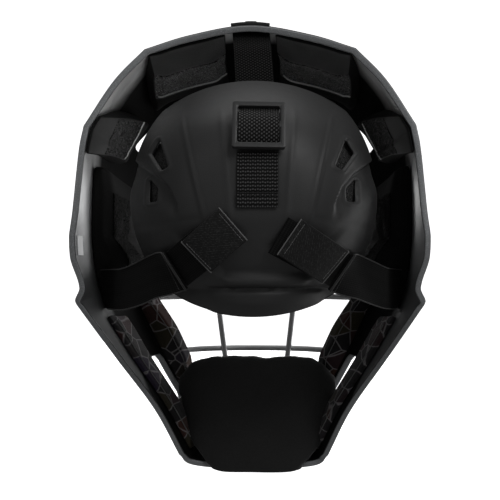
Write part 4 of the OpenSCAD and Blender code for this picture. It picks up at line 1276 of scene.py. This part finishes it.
# ---- CAD nodes that stay, with their materials ---------------------------------------------
def finish_node(name, material, bevel=0.0, segments=3):
    ob = NODES[name]
    if not ob.material_slots:
        ob.data.materials.append(material)
    for sl in ob.material_slots:
        sl.material = material
    if bevel:
        weld = ob.modifiers.new("weld", "WELD")
        weld.merge_threshold = 0.02 * MM
        mod = ob.modifiers.new("edges", "BEVEL")
        mod.width, mod.segments = bevel * MM, segments
        mod.limit_method, mod.angle_limit = "ANGLE", math.radians(40)


finish_node("tri_glide", black_plastic, 1.3, 5)
finish_node("cage_clips", black_plastic, 0.6)
finish_node("top_strap_retainer", black_plastic, 0.4)
finish_node("blank_label", label_film)
for name in ("clip_screws", "retainer_screws", "elastic_screws", "elastic_washers", "strap_rivets"):
    finish_node(name, dark_steel, 0.2, 2)
for name in ("clip_nuts", "retainer_nuts", "elastic_nuts"):
    finish_node(name, blackened, 0.2, 2)

# ---- Floor, lights and camera --------------------------------------------------------------
def area(name, at, target, size, power):
    light = bpy.data.lights.new(name, "AREA")
    light.shape, light.energy = "RECTANGLE", power
    light.size, light.size_y = size
    ob = bpy.data.objects.new(name, light)
    ob.location = at
    ob.rotation_mode = "QUATERNION"
    ob.rotation_quaternion = (Vector(at) - Vector(target)).to_track_quat("Z", "Y")
    bpy.context.scene.collection.objects.link(ob)
    return ob


def build_stage():
    floor_z, turn_y, radius = cad_low.z / MM - 6, 1500, 900
    profile = [(-2600.0, floor_z), (turn_y, floor_z)]
    for a in np.linspace(0.1, math.pi / 2, 10):
        profile.append((turn_y + radius * math.sin(a), floor_z + radius - radius * math.cos(a)))
    profile.append((turn_y + radius, floor_z + 3600))
    xs = np.linspace(-3600, 3600, 5)
    verts = [(x, y, z) for x in xs for y, z in profile]
    p = Paint("backdrop_paper", 0.9, Specular_IOR_Level=0.0)
    paper = p.ramp(p.noise(3, 3), (0.3, grey(0.93)), (0.7, grey(0.95)))
    p.colour(paper)
    p.put(p.shader.inputs["Emission Color"], paper)
    p.put(p.shader.inputs["Emission Strength"], 1.1)
    ob = make_mesh("backdrop", verts, grid_faces(len(xs), len(profile)), [p.mat])
    # the paper is white to the camera and adds nothing to the light on the mask
    ob.visible_diffuse = ob.visible_glossy = ob.visible_shadow = False


AIM = (0, 0.02, 0)
LIGHTS = [  # name, place, aim, size and watts
    ("key", (0.85, -1.4, 1.3), AIM, (1.0, 0.8), 10),
    ("top", (0, 0.15, 1.6), AIM, (1.4, 1.0), 7),
    ("side_right", (1.05, -1.65, 0.7), AIM, (0.35, 1.1), 3),
    ("side_left", (-1.05, -1.65, 0.7), AIM, (0.35, 1.1), 2),
    ("floor", (0.25, -0.85, -0.95), AIM, (1.2, 0.6), 0.5),
    # light that a white floor would throw up from beyond the mask, into the shell and over the cage
    ("bounce", (0.5, 1.0, -0.13), (0, 0, 0.05), (2.4, 1.2), 22),
]
HIDDEN_LIGHTS = ("floor", "bounce")
WORLD_STRENGTH = 0.13
SENSOR, LENS = 36, 81.792
CAMERA_AT, CAMERA_YAW = (0.0229, -0.8097, 0), math.radians(1.7)


def build_light():
    world = bpy.data.worlds.new("studio")
    bpy.context.scene.world = world
    world.use_nodes = True
    background = world.node_tree.nodes["Background"]
    background.inputs["Color"].default_value = (1, 1, 1, 1)
    background.inputs["Strength"].default_value = WORLD_STRENGTH
    for name, at, aim, size, power in LIGHTS:
        light = area(name, at, aim, size, power)
        if name in HIDDEN_LIGHTS:
            light.visible_camera = False


def build_camera():
    data = bpy.data.cameras.new("camera")
    data.sensor_width, data.lens = SENSOR, LENS
    data.clip_start, data.clip_end = 0.01, 50
    cam = bpy.data.objects.new("camera", data)
    cam.location = CAMERA_AT
    cam.rotation_mode = "QUATERNION"
    ahead = Vector((-math.sin(CAMERA_YAW), math.cos(CAMERA_YAW), 0))
    cam.rotation_quaternion = ahead.to_track_quat("-Z", "Y")
    bpy.context.scene.collection.objects.link(cam)
    bpy.context.scene.camera = cam


build_stage()
build_light()
build_camera()
bpy.context.scene.view_settings.view_transform = "Standard"
